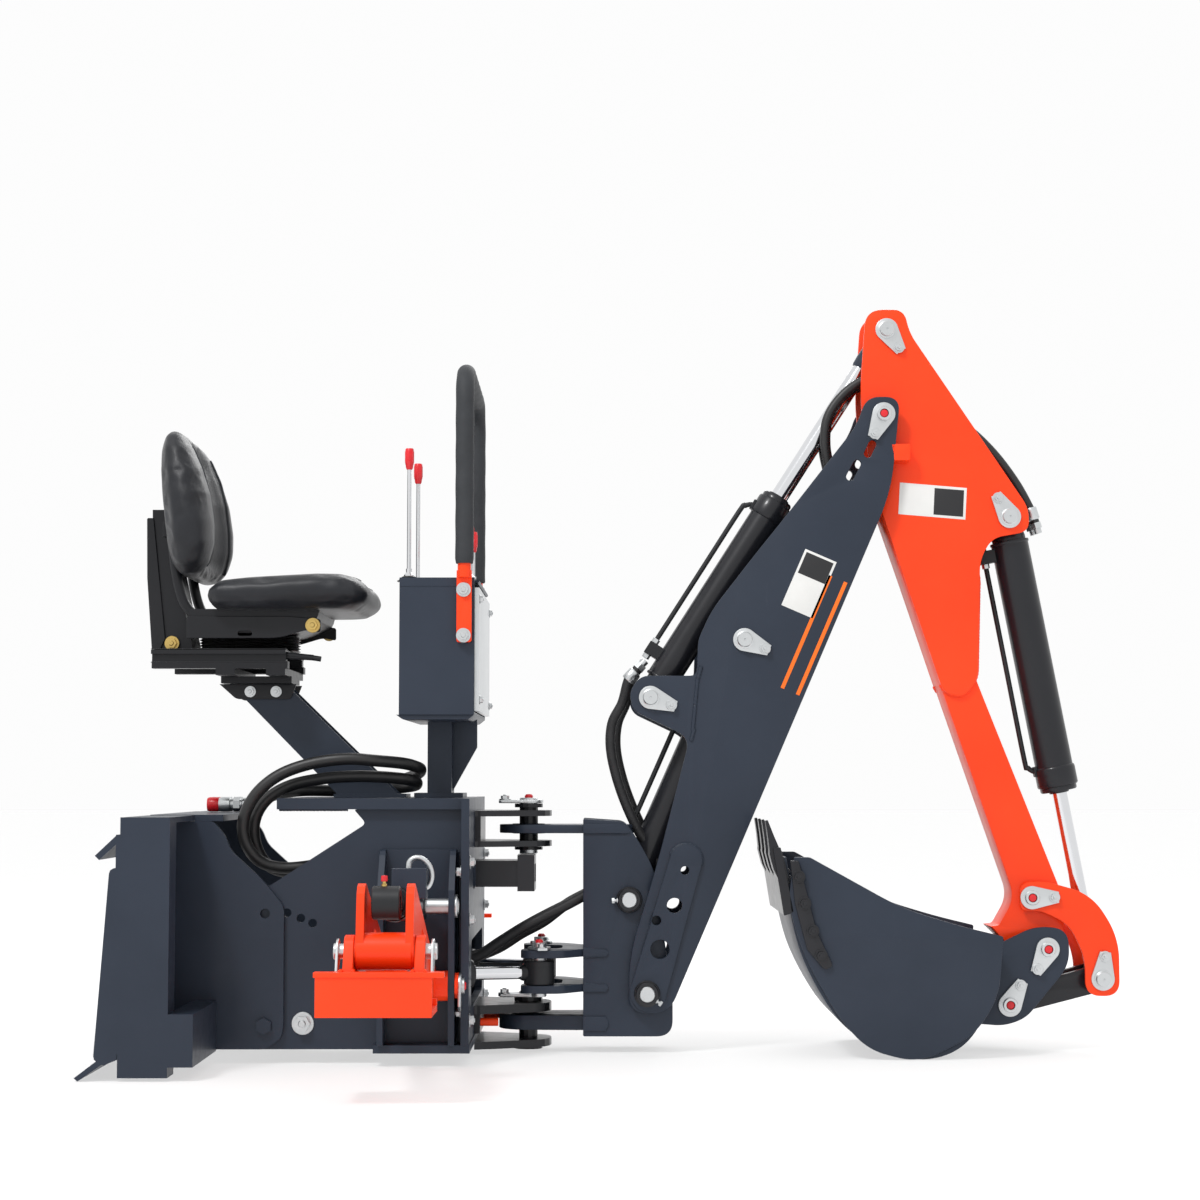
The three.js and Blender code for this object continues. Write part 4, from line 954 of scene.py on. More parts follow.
def make_dipper():
    plates = outline([
        (524, 1579, 36), (606, 1579, 38), (618, 1528, 30), (743, 1340, 30), (869, 1150, 34),
        (869, 1100, 26), (790, 1086, 24), (764, 1040, 50), (756, 783, 26), (724, 745, 34),
        (683, 755, 22), (540, 1186, 60), (509, 1378, 60),
    ])
    end = (893, 216)
    beam = outline([
        (537, 1186, 20), (830, 322, 40), (796, 264, 5), (777, 262, 3), (803, 236, 10), (858, 178, 30),
        (end[0] + 38, end[1] - 38, 36), (end[0] + 40, end[1] + 40, 34), (935, 318, 30), (771, 740),
        (643, 1075, 40), (590, 1196, 20),
    ])
    shape = Shape()
    shape.pair(plates, (DIPPER_Y[0] - 0.001, DIPPER_Y[1]), (), 0.0014)
    shape.plate_xz(beam, -DIPPER_Y[0], DIPPER_Y[0], (), 0.0022)
    edge = [(0.625, 1.517), (0.743, 1.337), (0.812, 1.232)]
    shape.strip(edge, -0.008, (-DIPPER_Y[0], DIPPER_Y[0]))
    stop = outline([(572, 1283), (612, 1283, 3), (612, 1248, 3), (578, 1248)])
    shape.pair(stop, (DIPPER_Y[1] - 0.001, BOOM_Y[1]), (), 0.0012)
    seam = outline([(764, 1040, 50), (756, 783, 26), (724, 745, 34), (683, 755, 22), (600, 1005)])
    for sign in SIDES:
        y = sign * (DIPPER_Y[0] + 0.001)
        shape.weld(raised(seam[:-1], y), 0.003)
        shape.weld([(0.5745, sign * DIPPER_Y[1], 1.2825), (0.611, sign * DIPPER_Y[1], 1.2835)], 0.003)
    shape.done("dipper_plates", "dipper", "orange_paint", ("dipper",))


def make_bucket_links():
    arm = outline([
        (838, 354, 30), (890, 358, 40), (990, 330, 90), (1046, 240, 90), (1046, 117, 40),
        (974, 117, 40), (974, 200, 60), (940, 268, 60), (880, 296, 30), (838, 294, 30),
    ], 12)
    shape = Shape()
    shape.pair(arm, LINK_Y, (), 0.0014)
    shape.done("curved_link_plates", "curved_links", "orange_paint", ("curved_links",))
    pins = Shape()
    pins.on_pin(LINK_PIVOT, 0).disc(PIN_R, -LINK_Y[1], LINK_Y[1])
    pins.on_pin(LINK_END, 0).disc(PIN_R, -LINK_Y[1], LINK_Y[1])
    pins.done("curved_link_through_pins", "curved_links", "zinc_plate")

    shape = Shape()
    plates = wrapped([(*LINK_END, 0.028), (*TIPPING_PIN, 0.026)])
    hole = circle(LINK_END, PIN_R + 0.0006)
    shape.pair(plates, (0.030, 0.046), (hole,), 0.0014)
    shape.on_pin(TIPPING_PIN, 0).ring(PIN_R, 0.026, -EAR_Y[0] + 0.001, EAR_Y[0] - 0.001, 0.0015)
    spine = wrapped([(0.868, 0.116, 0.010), (0.955, 0.139, 0.010)])
    shape.plate_xz(spine, -0.031, 0.031)
    shape.done("bucket_link_plates", "bucket_link", "dark_paint", ("bucket_link",))


BUCKET_FLOOR = [
    (0.336, 0.412), (0.352, 0.318), (0.382, 0.205), (0.449, 0.090), (0.525, 0.034), (0.604, 0.012),
    (0.668, 0.024), (0.712, 0.062), (0.742, 0.130), (0.762, 0.238),
]


def make_bucket():
    ear = outline([
        (724, 62, 10), (800, 56, 34), (846, 72, 34), (940, 184, 42), (936, 258, 42), (868, 264, 36),
        (748, 206, 10),
    ])
    inner = BUCKET_Y[0] + 0.0005
    shape = Shape()
    shape.strip(smooth_run(BUCKET_FLOOR, 6), -0.012, (-inner, inner))
    shape.pair(ear, EAR_Y, (), 0.0014)
    wrapper = smooth_run([(0.720, 0.075), (0.748, 0.130), (0.764, 0.200), (0.800, 0.236)], 5)
    shape.strip(wrapper, -0.010, (-EAR_Y[0] - 0.001, EAR_Y[0] + 0.001))
    shape.done("bucket_shell_plates", "bucket", "grey_paint", ("bucket_shell",))

    side_plate = outline([
        (352, 412, 3), (384, 412, 4), (573, 307, 90), (697, 270, 60), (780, 250, 4), (770, 130, 60),
        (720, 50, 60), (604, -7, 100), (500, 20, 80), (440, 86, 80), (372, 206, 80), (338, 318, 40),
    ], 10)
    for sign in SIDES:
        word = SIDE_NAME[sign]
        shape = Shape()
        shape.one_side(side_plate, sign, BUCKET_Y, (), 0.0014)
        shape.done(f"bucket_side_plate_{word}", "bucket", "grey_paint", (f"bucket_side_{word}",))
        cutter = Shape()
        strip = outline([(343, 405, 2), (360, 405, 2), (396, 262), (430, 190, 10), (412, 182, 10),
                         (376, 225), (352, 318)])
        cutter.one_side(strip, sign, (BUCKET_Y[1], BUCKET_Y[1] + 0.009), (), 0.0016)
        for at in ((0.360, 0.372), (0.372, 0.318), (0.388, 0.262), (0.405, 0.212)):
            cutter.on_pin(at, BUCKET_Y[1] + 0.009, sign)
            cutter.bolt(0.019)
        cutter.done(f"bucket_side_cutter_{word}", "bucket", "dark_paint")

    lip = Shape()
    half = BUCKET_Y[1]
    edge = outline([(308, 432, 3), (324, 432, 2), (351, 300, 2), (330, 292, 3)])
    lip.plate_xz(edge, -half, half, (), 0.001)
    tip = Vector((0.297, 0.487))
    root = Vector((0.332, 0.352))
    along = (root - tip).normalized()
    out = Vector((along.y, -along.x))
    pitch = (2 * half - 0.062) / 3
    for i in range(4):
        middle = -half + 0.031 + i * pitch
        tooth_sections = (
            (tip, 0.014, -0.002, 0.003), (tip + along * 0.035, 0.019, -0.006, 0.007),
            (tip + along * 0.062, 0.0235, -0.010, 0.011), (tip + along * 0.068, 0.025, -0.013, 0.013),
            (tip + along * 0.100, 0.025, -0.013, 0.013), (tip + along * 0.136, 0.020, -0.013, 0.006),
        )
        points = []
        for at, wide, low, high in tooth_sections:
            for y, reach in ((-wide, low), (wide, low), (wide, high), (-wide, high)):
                corner = at + out * reach
                points.append((corner.x, middle + y, corner.y))
        faces = [(0, 1, 2, 3), tuple(range(len(points) - 4, len(points)))]
        for k in range(len(tooth_sections) - 1):
            for j in range(4):
                n = (j + 1) % 4
                faces.append((4 * k + j, 4 * k + n, 4 * k + 4 + n, 4 * k + 4 + j))
        lip.at((0, 0, 0)).add(points, faces)
        for row in (0.112, 0.128):
            at = tip + along * row
            for sign in SIDES:
                lip.at((at.x - out.x * 0.011, middle + sign * 0.012, at.y - out.y * 0.011),
                       (-out.x, 0, -out.y))
                lip.bolt(0.014)
    lip.done("bucket_lip_and_teeth", "bucket", "dark_paint", ("bucket_teeth",), None, 0.0009)


def make_mast():
    side = outline([
        (-83, 34, 4), (105, 34, 58), (105, 110, 14), (69, 379, 40), (31, 447, 26), (5, 483, 14),
        (-83, 489, 4),
    ], 10)
    shape = Shape()
    hole = circle(BOOM_FOOT, PIN_R), circle(BOOM_CYL_BASE, PIN_R)
    shape.pair(side, MAST_Y, hole, 0.0015)
    inner = MAST_Y[0] + 0.001
    shape.box((-0.083, -inner, 0.040), (-0.071, inner, 0.486))
    tongue = wrapped([(-0.200, 0, 0.062), (-0.100, 0, 0.0685), (-0.040, 0, 0.0685)], 60)
    pin_hole = circle((-0.200, 0), 0.0205)
    for low, high in ((0.458, 0.476), (0.046, 0.076)):
        shape.plate(tongue, low, high, (pin_hole,), 0.0015)
    ears = outline([
        (0, -68.5), (0, 68.5), (-84, 79), (-130, 134, 20), (-214, 134, 40), (-212, 72, 10), (-128, 52, 20),
        (-128, -52, 20), (-212, -72, 10), (-214, -134, 40), (-130, -134, 20), (-84, -79),
    ])
    ear_holes = [circle((SWING_PIN[0], sign * SWING_PIN[1]), 0.0162) for sign in SIDES]
    for low, high in ((0.200, 0.216), (0.127, 0.143)):
        shape.plate(ears, low, high, ear_holes, 0.0015)
    for sign in SIDES:
        y = sign * MAST_Y[1]
        for z in (0.143, 0.200, 0.216):
            shape.weld([(-0.082, y, z), (-0.002, sign * 0.0695, z)], 0.003)
    for low, high in ((0.0445, 0.0775), (0.4565, 0.4775)):
        shape.at((-0.200, 0, 0)).ring(0.0205, 0.036, low, high, 0.0015)
    for sign in SIDES:
        y = sign * (MAST_Y[1] + 0.0005)
        tab = outline([(-83, 458), (20, 458, 12), (4, 478, 12), (-83, 478)])
        skin = (MAST_Y[1], MAST_Y[1] + 0.004)
        shape.one_side(tab, sign, skin)
        for low, high in ((46, 76), (127, 143), (200, 216)):
            foot = outline([(-83, low), (-36, low), (-28, (low + high) / 2, 6), (-36, high), (-83, high)])
            shape.one_side(foot, sign, skin)
    shape.done("mast_plates", "mast", "grey_paint", ("swing_mast",))


# ---------------------------------------------------------------- operator station
def rounded_slab(name, sections, steps=28):
    """A closed padded form from superellipse sections: (center, half width along Y, half depth, depth
    direction, squareness); returned with one ring of points per section."""
    points = []
    for center, wide, deep, direction, power in sections:
        for i in range(steps):
            angle = 2 * math.pi * i / steps
            c, s = math.cos(angle), math.sin(angle)
            across = wide * math.copysign(abs(c) ** (2 / power), c)
            out = deep * math.copysign(abs(s) ** (2 / power), s)
            points.append(Vector((center[0], across, center[1])) + Vector((direction[0], 0,
                                                                           direction[1])) * out)
    faces = [tuple(range(steps)), tuple(range(len(points) - steps, len(points)))]
    for k in range(len(sections) - 1):
        for i in range(steps):
            j = (i + 1) % steps
            faces.append((k * steps + i, k * steps + j, (k + 1) * steps + j, (k + 1) * steps + i))
    shape = Shape()
    shape.add(points, faces)
    mesh = bpy.data.meshes.new(name)
    bmesh.ops.recalc_face_normals(shape.mesh, faces=shape.mesh.faces)
    shape.mesh.to_mesh(mesh)
    shape.mesh.free()
    return bpy.data.objects.new(name, mesh)


def inflate(obj, pressure, frames, cap, voxel=0.007):
    """Swells a padded form with cloth under pressure and applies it; no point moves farther than cap."""
    scene = bpy.context.scene
    scene.collection.objects.link(obj)
    remesh = obj.modifiers.new("even_mesh", "REMESH")
    remesh.mode = "VOXEL"
    remesh.voxel_size = voxel
    apply_modifiers(obj)
    start = [v.co.copy() for v in obj.data.vertices]
    cloth = obj.modifiers.new("cloth", "CLOTH")
    cloth.settings.use_pressure = True
    cloth.settings.uniform_pressure_force = pressure
    cloth.settings.effector_weights.gravity = 0
    cloth.settings.tension_stiffness = 12
    cloth.point_cache.frame_end = frames
    for number in range(1, frames + 1):
        scene.frame_set(number)
    apply_modifiers(obj)
    scene.frame_set(1)
    for vertex, origin in zip(obj.data.vertices, start):
        move = vertex.co - origin
        if move.length > cap:
            vertex.co = origin + move.normalized() * cap
    return obj


def apply_modifiers(obj):
    """Replaces the mesh with what its modifiers make of it."""
    graph = bpy.context.evaluated_depsgraph_get()
    graph.update()
    mesh = bpy.data.meshes.new_from_object(obj.evaluated_get(graph))
    old = obj.data
    obj.modifiers.clear()
    obj.data = mesh
    bpy.data.meshes.remove(old)


def snap_to(obj, points, lift):
    """Moves points onto a piece's surface, then a little way off it."""
    graph = bpy.context.evaluated_depsgraph_get()
    graph.update()
    moved = []
    for p in points:
        found, at, normal, _ = obj.closest_point_on_mesh(Vector(p), depsgraph=graph)
        moved.append(at + normal * lift if found else Vector(p))
    return moved


def make_cushion():
    up = (0, 1)
    sections = [
        ((-0.871, 0.953), 0.170, 0.012, up, 3.0), ((-0.866, 0.954), 0.194, 0.021, up, 3.6),
        ((-0.846, 0.956), 0.207, 0.0275, up, 4.2), ((-0.780, 0.959), 0.213, 0.031, up, 4.4),
        ((-0.710, 0.961), 0.215, 0.033, up, 4.4), ((-0.640, 0.963), 0.214, 0.035, up, 4.4),
        ((-0.590, 0.963), 0.208, 0.035, up, 4.2), ((-0.556, 0.961), 0.198, 0.032, up, 3.8),
        ((-0.537, 0.958), 0.184, 0.024, up, 3.2), ((-0.530, 0.956), 0.168, 0.013, up, 2.8),
    ]
    pad = inflate(rounded_slab("seat_cushion_pad", sections, 48), 3.5, 14, 0.006, 0.006)
    seam = 0.132
    for vertex in pad.data.vertices:
        x, y, z = vertex.co
        if z > 0.966:
            reach = ease((x + 0.878) / 0.06) * ease((-0.524 - x) / 0.06) * ease((z - 0.966) / 0.012)
            dish = 0.016 * (1 - min(1.0, abs(y) / seam) ** 4)
            groove = 0.005 * notch(abs(y) - seam, 0.007)
            channel = 0.004 * notch((x + 0.70) % 0.070 - 0.035, 0.006) if abs(y) < seam else 0.0
            vertex.co.z -= (dish + groove + channel) * reach
        elif abs(y) > 0.15:
            vertex.co.y -= math.copysign(0.003 * notch(z - 0.946, 0.005), y)
    top = [(x, 0.99) for x in (-0.856, -0.79, -0.70, -0.62, -0.57, -0.548)]
    return finish_pad(pad, "seat_cushion", seam, top)


def make_backrest():
    out = (1, 0)
    sections = [
        ((-0.916, 0.993), 0.125, 0.012, out, 3.0), ((-0.914, 0.999), 0.162, 0.020, out, 3.4),
        ((-0.910, 1.022), 0.197, 0.034, out, 4.0), ((-0.908, 1.065), 0.211, 0.043, out, 4.4),
        ((-0.911, 1.110), 0.214, 0.0455, out, 4.4), ((-0.919, 1.170), 0.209, 0.045, out, 4.2),
        ((-0.930, 1.225), 0.197, 0.039, out, 4.0), ((-0.941, 1.270), 0.178, 0.031, out, 3.6),
        ((-0.949, 1.300), 0.152, 0.023, out, 3.2), ((-0.952, 1.312), 0.120, 0.014, out, 2.8),
    ]
    pad = inflate(rounded_slab("seat_backrest_pad", sections, 48), 3.5, 14, 0.006, 0.006)
    seam = 0.112
    for vertex in pad.data.vertices:
        x, y, z = vertex.co
        middle = -0.905 - 0.2 * max(0.0, z - 1.10)
        if x > middle:
            reach = ease((z - 0.990) / 0.06) * ease((1.318 - z) / 0.07) * ease((x - middle) / 0.015)
            dish = 0.034 * (1 - min(1.0, abs(y) / seam) ** 3)
            groove = 0.006 * notch(abs(y) - seam, 0.007) + 0.004 * notch(abs(y) - 0.040, 0.006)
            vertex.co.x -= (dish + groove) * reach
    front = [(-0.86, z) for z in (1.008, 1.05, 1.11, 1.18, 1.24, 1.28, 1.304)]
    return finish_pad(pad, "seat_backrest", seam, front)


def ease(t):
    """A smooth step from 0 to 1 as t goes from 0 to 1."""
    t = max(0.0, min(1.0, t))
    return t * t * (3 - 2 * t)


def notch(distance, width):
    """A groove's depth, 1 at its middle."""
    return math.exp(-((distance / width) ** 2))


def finish_pad(pad, node, seam, run):
    """Smooths a pad, sews piping along its two bolsters, and lets it ride on the suspension."""
    for polygon in pad.data.polygons:
        polygon.use_smooth = True
    relax = pad.modifiers.new("relax", "SMOOTH")
    relax.factor = 0.5
    relax.iterations = 2
    apply_modifiers(pad)
    for polygon in pad.data.polygons:
        polygon.use_smooth = True
    settle(pad, "seat_suspension", "vinyl", (node,))
    piping = Shape()
    for sign in SIDES:
        raw = resample([(x, sign * seam, z) for x, z in run], 0.006)
        route = snap_to(pad, raw, 0.0004)
        piping.tube(route, 0.0021, 8)
    piping.done(f"{node}_piping", "seat_suspension", "vinyl", (), "foam")
    return pad


def make_seat():
    make_cushion()
    make_backrest()
    shape = Shape()
    for sign in SIDES:
        y = sign * 0.108
        bent = smooth_run([(-0.962, y, 1.200), (-0.956, y, 1.120), (-0.945, y, 1.020), (-0.932, y, 0.960),
                           (-0.915, y, 0.928), (-0.890, y, 0.910), (-0.860, y, 0.902), (-0.820, y, 0.900)], 6)
        shape.tube(bent, 0.011, 14)
        arm = outline([(-912, 866), (-720, 866, 20), (-660, 884, 20), (-632, 878, 6), (-632, 906, 6),
                       (-700, 912), (-912, 912)])
        slot = wrapped([(-0.800, 0.876, 0.005), (-0.780, 0.876, 0.005)], 12)
        shape.one_side(arm, sign, (0.150, 0.155), (slot,))
    shape.box((-0.965, -0.150, 1.080), (-0.957, 0.150, 1.110))
    shape.done("seat_back_tubes", "seat_suspension", "black_paint", (), None, 0.0008)

    bellows = Shape()
    folds = []
    for i in range(6):
        z = 0.8424 + i * 0.006
        folds.extend([(0.102, z), (0.108, z + 0.003)])
    top = folds[-1][1]
    bellows.at((-0.800, 0, 0))
    bellows.lathe([(0, 0.8424), *folds, (0.102, top + 0.001), (0, top + 0.001)], 48)
    bellows.done("seat_bellows", "seat_slide", "hose_rubber")

    trim = Shape()
    for sign in SIDES:
        post = outline([(-1000, 842), (-985, 842), (-972, 870), (-1000, 1128, 4), (-1014, 1128, 4),
                        (-1012, 1000)])
        trim.one_side(post, sign, (0.0625, 0.0675))
        for z in (0.8445, 0.8165):
            trim.box((-0.986, sign * 0.140 - 0.0165, z - 0.0015), (-0.704, sign * 0.140 + 0.0165, z))
    bar_run = [(-0.760, -0.1395, 0.826), (-0.700, -0.1395, 0.8275), (-0.655, -0.1395, 0.826),
               (-0.632, -0.1395, 0.823)]
    trim.tube(smooth_run(bar_run, 5), 0.0058, 12)
    trim.done("seat_slide_trim", "seat_slide", "black_paint", (), None, 0.0006)
    saddle, studs = Shape(), Shape()
    side_plate = outline([(-858, 774), (-694, 774), (-706, 742, 8), (-822, 742, 8)])
    for sign in SIDES:
        saddle.one_side(side_plate, sign, (0.0455, 0.0515))
        for x in (-0.792, -0.737):
            studs.on_pin((x, 0.758), 0.0517, sign).bolt(0.017)
    saddle.done("seat_post_saddle", "frame", "black_paint")
    studs.done("seat_post_bolts", "frame", "zinc_plate")

    bolts = Shape()
    for sign in SIDES:
        bolts.on_pin((-0.957, 0.860), 0.0678, sign).bolt(0.022)
    bolts.done("seat_back_bolts", "seat_slide", "zinc_plate", (), "gold")
    bolts = Shape()
    for sign in SIDES:
        bolts.on_pin((-0.648, 0.893), 0.155, sign).bolt(0.022)
    bolts.done("seat_pan_bolts", "seat_suspension", "zinc_plate", (), "gold")


def make_console_details():
    bolts = Shape()
    for sign in SIDES:
        for z in (0.960, 0.866):
            bolts.on_pin((-0.3275, z), 0.2572, sign).bolt(0.021)
        for z in (0.735, 0.943):
            bolts.at((-0.2957, sign * 0.218, z), (1, 0, 0)).bolt(0.013)
    bolts.done("console_bolts", "frame", "zinc_plate")

    trim = Shape()
    for sign in SIDES:
        y = sign * 0.2453
        seam = [(-0.459, y, 0.968), (-0.3065, y, 0.968)]
        trim.tube(resample(seam, 0.02), 0.0007, 6)
    gusset = outline([(-466, 704), (-306, 704), (-318, 694, 3), (-452, 694, 3)])
    trim.plate_xz(gusset, -0.240, 0.240, (), 0.0012)
    hinge = [(-0.302, -0.20, 0.982), (-0.302, 0.20, 0.982)]
    trim.tube(hinge, 0.004, 12)
    trim.done("console_trim", "frame", "grey_paint")


def make_grab_bar():
    x = -0.326
    corner = 0.062
    y = 0.255
    top = 1.417
    rise = [(x, -y, 1.014), (x, -y, 1.10), (x, -y, 1.20), (x, -y, top - corner)]
    turn = [(x, -y + corner * (1 - math.cos(a)), top - corner * (1 - math.sin(a)))
            for a in (math.radians(d) for d in range(12, 90, 12))]
    near = [*rise, *turn]
    far = [(p[0], -p[1], p[2]) for p in near[::-1]]
    run = [*near, (x, -0.19, top), (x, -0.10, top), (x, 0, top), (x, 0.10, top), (x, 0.19, top), *far]
    foam = Shape()
    grip = resample(run, 0.010)
    radii = [0.0190 + 0.0003 * math.sin(i * 0.9) for i in range(len(grip))]
    radii[0] = radii[-1] = 0.0175
    foam.tube(grip, radii, 28)
    foam.done("grab_bar_foam", "frame", "hose_rubber", (), "foam")
    steel = Shape()
    for sign in SIDES:
        tab = outline([(-342, 852, 6), (-311, 852, 6), (-311, 1000, 2), (-313, 1000), (-313, 1014),
                       (-340, 1014), (-340, 1000), (-342, 1000, 2)])
        steel.one_side(tab, sign, (0.2456, 0.2568))
        steel.at((x, sign * y, 0)).disc(0.0135, 0.985, 1.020, 0.001, 32)
    steel.done("grab_bar_brackets", "frame", "orange_paint", ("grab_bar",))


def make_levers():
    sizes = {"arm_lever": (-0.450, 0.126, 1.269, 0.0046), "stabilizer_lever": (-0.325, 0.075, 1.112, 0.0042)}
    for kind, (x, y, top, radius) in sizes.items():
        for sign in SIDES:
            word = SIDE_NAME[sign]
            body = f"{kind}_{word}"
            rod = Shape()
            rod.at((x, sign * y, 0)).disc(radius, 0.992, top - 0.02, 0.0008, 24)
            rod.lathe([(0, 0.996), (0.011, 0.996), (0.011, 1.001), (0.0065, 1.006), (0.0065, 1.014),
                       (0, 1.014)], 24)
            rod.done(f"{body}_rod", body, "chrome_plate", (body,))
            knob = Shape()
            knob.at((x, sign * y, top))
            knob.lathe([(0, -0.045), (0.0055, -0.045), (0.0075, -0.0415), (0.0082, -0.035), (0.0092, -0.0335),
                        (0.0090, -0.002), (0.0078, 0.0), (0.004, 0.0004), (0, 0)], 32)
            for i in range(8):
                angle = math.pi * i / 4
                at = (x + 0.0089 * math.cos(angle), sign * y + 0.0089 * math.sin(angle), top - 0.018)
                knob.at(at).box((-0.0008, -0.0008, -0.012), (0.0008, 0.0008, 0.012))
            knob.done(f"{body}_knob", body, "red_plastic")
            boot = Shape()
            boot.at((x, sign * y, 0.9865))
            boot.lathe([(0, 0), (0.024, 0), (0.025, 0.002), (0.020, 0.004), (0.0205, 0.006), (0.015, 0.008),
                        (0.0155, 0.010), (0.009, 0.013), (0, 0.013)], 32)
            boot.done(f"{body}_boot", "frame", "hose_rubber")


# ---------------------------------------------------------------- hoses
HOSE_R = 0.0125
HOSE_ROUTES = {
    "upper": [
        (-326.6, -150, 415), (-420, -150, 415), (-520, -150, 408), (-620, -152, 396), (-700, -158, 388),
        (-752, -165, 402), (-782, -170, 442), (-786, -170, 490), (-762, -168, 540), (-715, -165, 580),
        (-650, -162, 604), (-575, -160, 614), (-510, -148, 610), (-460, -112, 605), (-436, -60, 598),
        (-432, 0, 592), (-444, 60, 583), (-484, 104, 570), (-545, 126, 557), (-620, 130, 548),
        (-700, 130, 547), (-760, 130, 538), (-800, 130, 522), (-826, 130, 517.5),
    ],
    "lower": [
        (-326.6, -105, 415), (-420, -105, 412), (-520, -105, 402), (-620, -108, 386), (-700, -114, 378),
        (-745, -120, 396), (-768, -126, 440), (-768, -128, 490), (-742, -128, 532), (-692, -127, 560),
        (-622, -126, 574), (-560, -124, 578), (-510, -120, 577), (-464, -94, 573), (-442, -52, 568),
        (-440, 0, 563), (-450, 44, 558), (-486, 80, 553), (-545, 92, 548), (-620, 94, 547),
        (-700, 94, 547), (-760, 94, 538), (-800, 94, 522), (-826, 94, 517.5),
    ],
}


def make_supply_hoses():
    for level, route in HOSE_ROUTES.items():
        points = [Vector(p) * MM for p in route]
        fine = smooth_run(points, 6)
        end = points[-1]
        hose = Shape().tube(fine, HOSE_R, 24)
        node = f"supply_hose_{level}"
        piece = hose.done(f"{node}_rubber", "frame", "hose_rubber", (node,))

        coupler = Shape()
        coupler.at((end.x + 0.004, end.y, end.z), (-1, 0, 0), (0, 0, 1))
        coupler.lathe([(0, -0.030), (0.0142, -0.030), (0.0146, -0.028), (0.0146, 0.004), (0.0120, 0.006),
                       (0.0120, 0.012), (0, 0.012)], 32)
        coupler.prism(circle((0, 0), 0.0162, 6), 0.010, 0.024)
        coupler.lathe([(0, 0.022), (0.0130, 0.022), (0.0130, 0.030), (0.0160, 0.032), (0.0160, 0.052),
                       (0.0145, 0.054), (0.0145, 0.058), (0, 0.058)], 32)
        coupler_piece = coupler.done(f"{node}_coupler", "frame", "zinc_plate")
        cap = Shape()
        cap.at((end.x + 0.004, end.y, end.z), (-1, 0, 0), (0, 0, 1))
        cap.lathe([(0, 0.056), (0.0150, 0.056), (0.0158, 0.060), (0.0158, 0.076), (0.0140, 0.081),
                   (0, 0.082)], 32)
        cap_piece = cap.done(f"{node}_dust_cap", "frame", "red_plastic")


def crimp(shape, at, along, radius):
    """A crimped hose end with its nut, from a point out along a direction."""
    shape.at(at, along, (0.3, 1, 0.2))
    shape.lathe([(0, -0.034), (radius + 0.002, -0.034), (radius + 0.0032, -0.032), (radius + 0.0032, -0.010),
                 (radius + 0.0018, -0.008), (radius - 0.001, -0.006), (radius - 0.001, 0.001), (0, 0.001)],
                 28)
    shape.prism(circle((0, 0), radius + 0.0025, 6), 0, 0.013)
    return shape.disc(radius - 0.002, 0.012, 0.024, 0.0008, 24)


def arm_hose(name, points, radius, bodies, between=None, material=None, ends=(True, True),
             slot="hose_rubber"):
    """A fixed hose on the arm; where it crosses the joint between two bodies it is drawn in place and rides on
    neither.
    """
    run = smooth_run(points, 7)
    shape = Shape().tube(run, radius, 18)
    piece = shape.done(name, bodies[0] if between is None else None, slot, (), material)
    if between is not None:
        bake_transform(piece)
    for i, wanted in enumerate(ends):
        if not wanted:
            continue
        fitting = Shape()
        near, next_near = (run[0], run[1]) if i == 0 else (run[-1], run[-2])
        crimp(fitting, near, near - next_near, radius)
        fitting.done(f"{name}_end_{i + 1}", bodies[i if between is not None else 0], "zinc_plate")


def make_arm_hoses():
    along = (Vector(DIPPER_CYL_ROD) - Vector(DIPPER_CYL_BASE)).normalized()
    right = Vector((along.y, -along.x))
    port = Vector(DIPPER_CYL_BASE) + along * 0.040 - right * 0.056
    arc = [port, port - along * 0.03 - right * 0.004, (0.0, 0.735), (-0.022, 0.690), (-0.024, 0.630),
           (-0.004, 0.550), (0.030, 0.470), (0.062, 0.420), (0.083, 0.380), (0.090, 0.335)]
    for i, y in enumerate((-0.022, 0.022)):
        shift = 0.012 * i
        arm_hose(
            f"dipper_hose_{i + 1}", [(p[0] + shift * min(k, 3) / 3, y, p[1]) for k, p in enumerate(arc)],
            0.0105, ("boom", "boom"), None, "sleeve", (True, False),
        )
    along = (Vector(LINK_END) - Vector(BUCKET_CYL_BASE)).normalized()
    right = Vector((along.y, -along.x))
    port = Vector(BUCKET_CYL_BASE) + along * 0.020 - right * 0.060
    run = [(0.640, 1.405), (0.690, 1.352), (0.742, 1.330), (0.800, 1.275), (0.848, 1.210), (0.880, 1.150),
           port]
    for i, y in enumerate((-0.016, 0.018)):
        arm_hose(f"bucket_hose_{i + 1}", [(x - 0.004 * i, y, z) for x, z in run], 0.0100,
                 ("dipper", "dipper"), None, None, (False, True))
    loop = [(0.452, 1.140), (0.448, 1.220), (0.436, 1.290), (0.443, 1.350), (0.480, 1.402), (0.530, 1.432),
            (0.585, 1.428), (0.640, 1.405)]
    for i, y in enumerate((-0.034, -0.012, 0.012, 0.034)):
        points = [(x + 0.005 * (i % 2), y, z) for x, z in loop]
        arm_hose(f"boom_tip_hose_{i + 1}", points, 0.0100, ("boom", "dipper"),
                 ((0.450, 0, 1.300), (0.600, 0, 1.430)), None, (False, False))
    for i, y in enumerate((-0.050, -0.018, 0.018, 0.050)):
        sag = 0.012 * (i % 2)
        points = [(-0.400, y, 0.200), (-0.350, y, 0.192), (-0.310, y, 0.196), (-0.262, y, 0.226 - sag),
                  (-0.214, y, 0.256 - sag), (-0.166, y, 0.282 - sag), (-0.118, y, 0.306),
                  (-0.070, y * 0.9, 0.332), (-0.020, y * 0.7, 0.362)]
        arm_hose(f"swing_hose_{i + 1}", points, 0.0105, ("frame", "mast"),
                 ((-0.290, 0, 0.210), (-0.110, 0, 0.310)), "sleeve", (False, False))


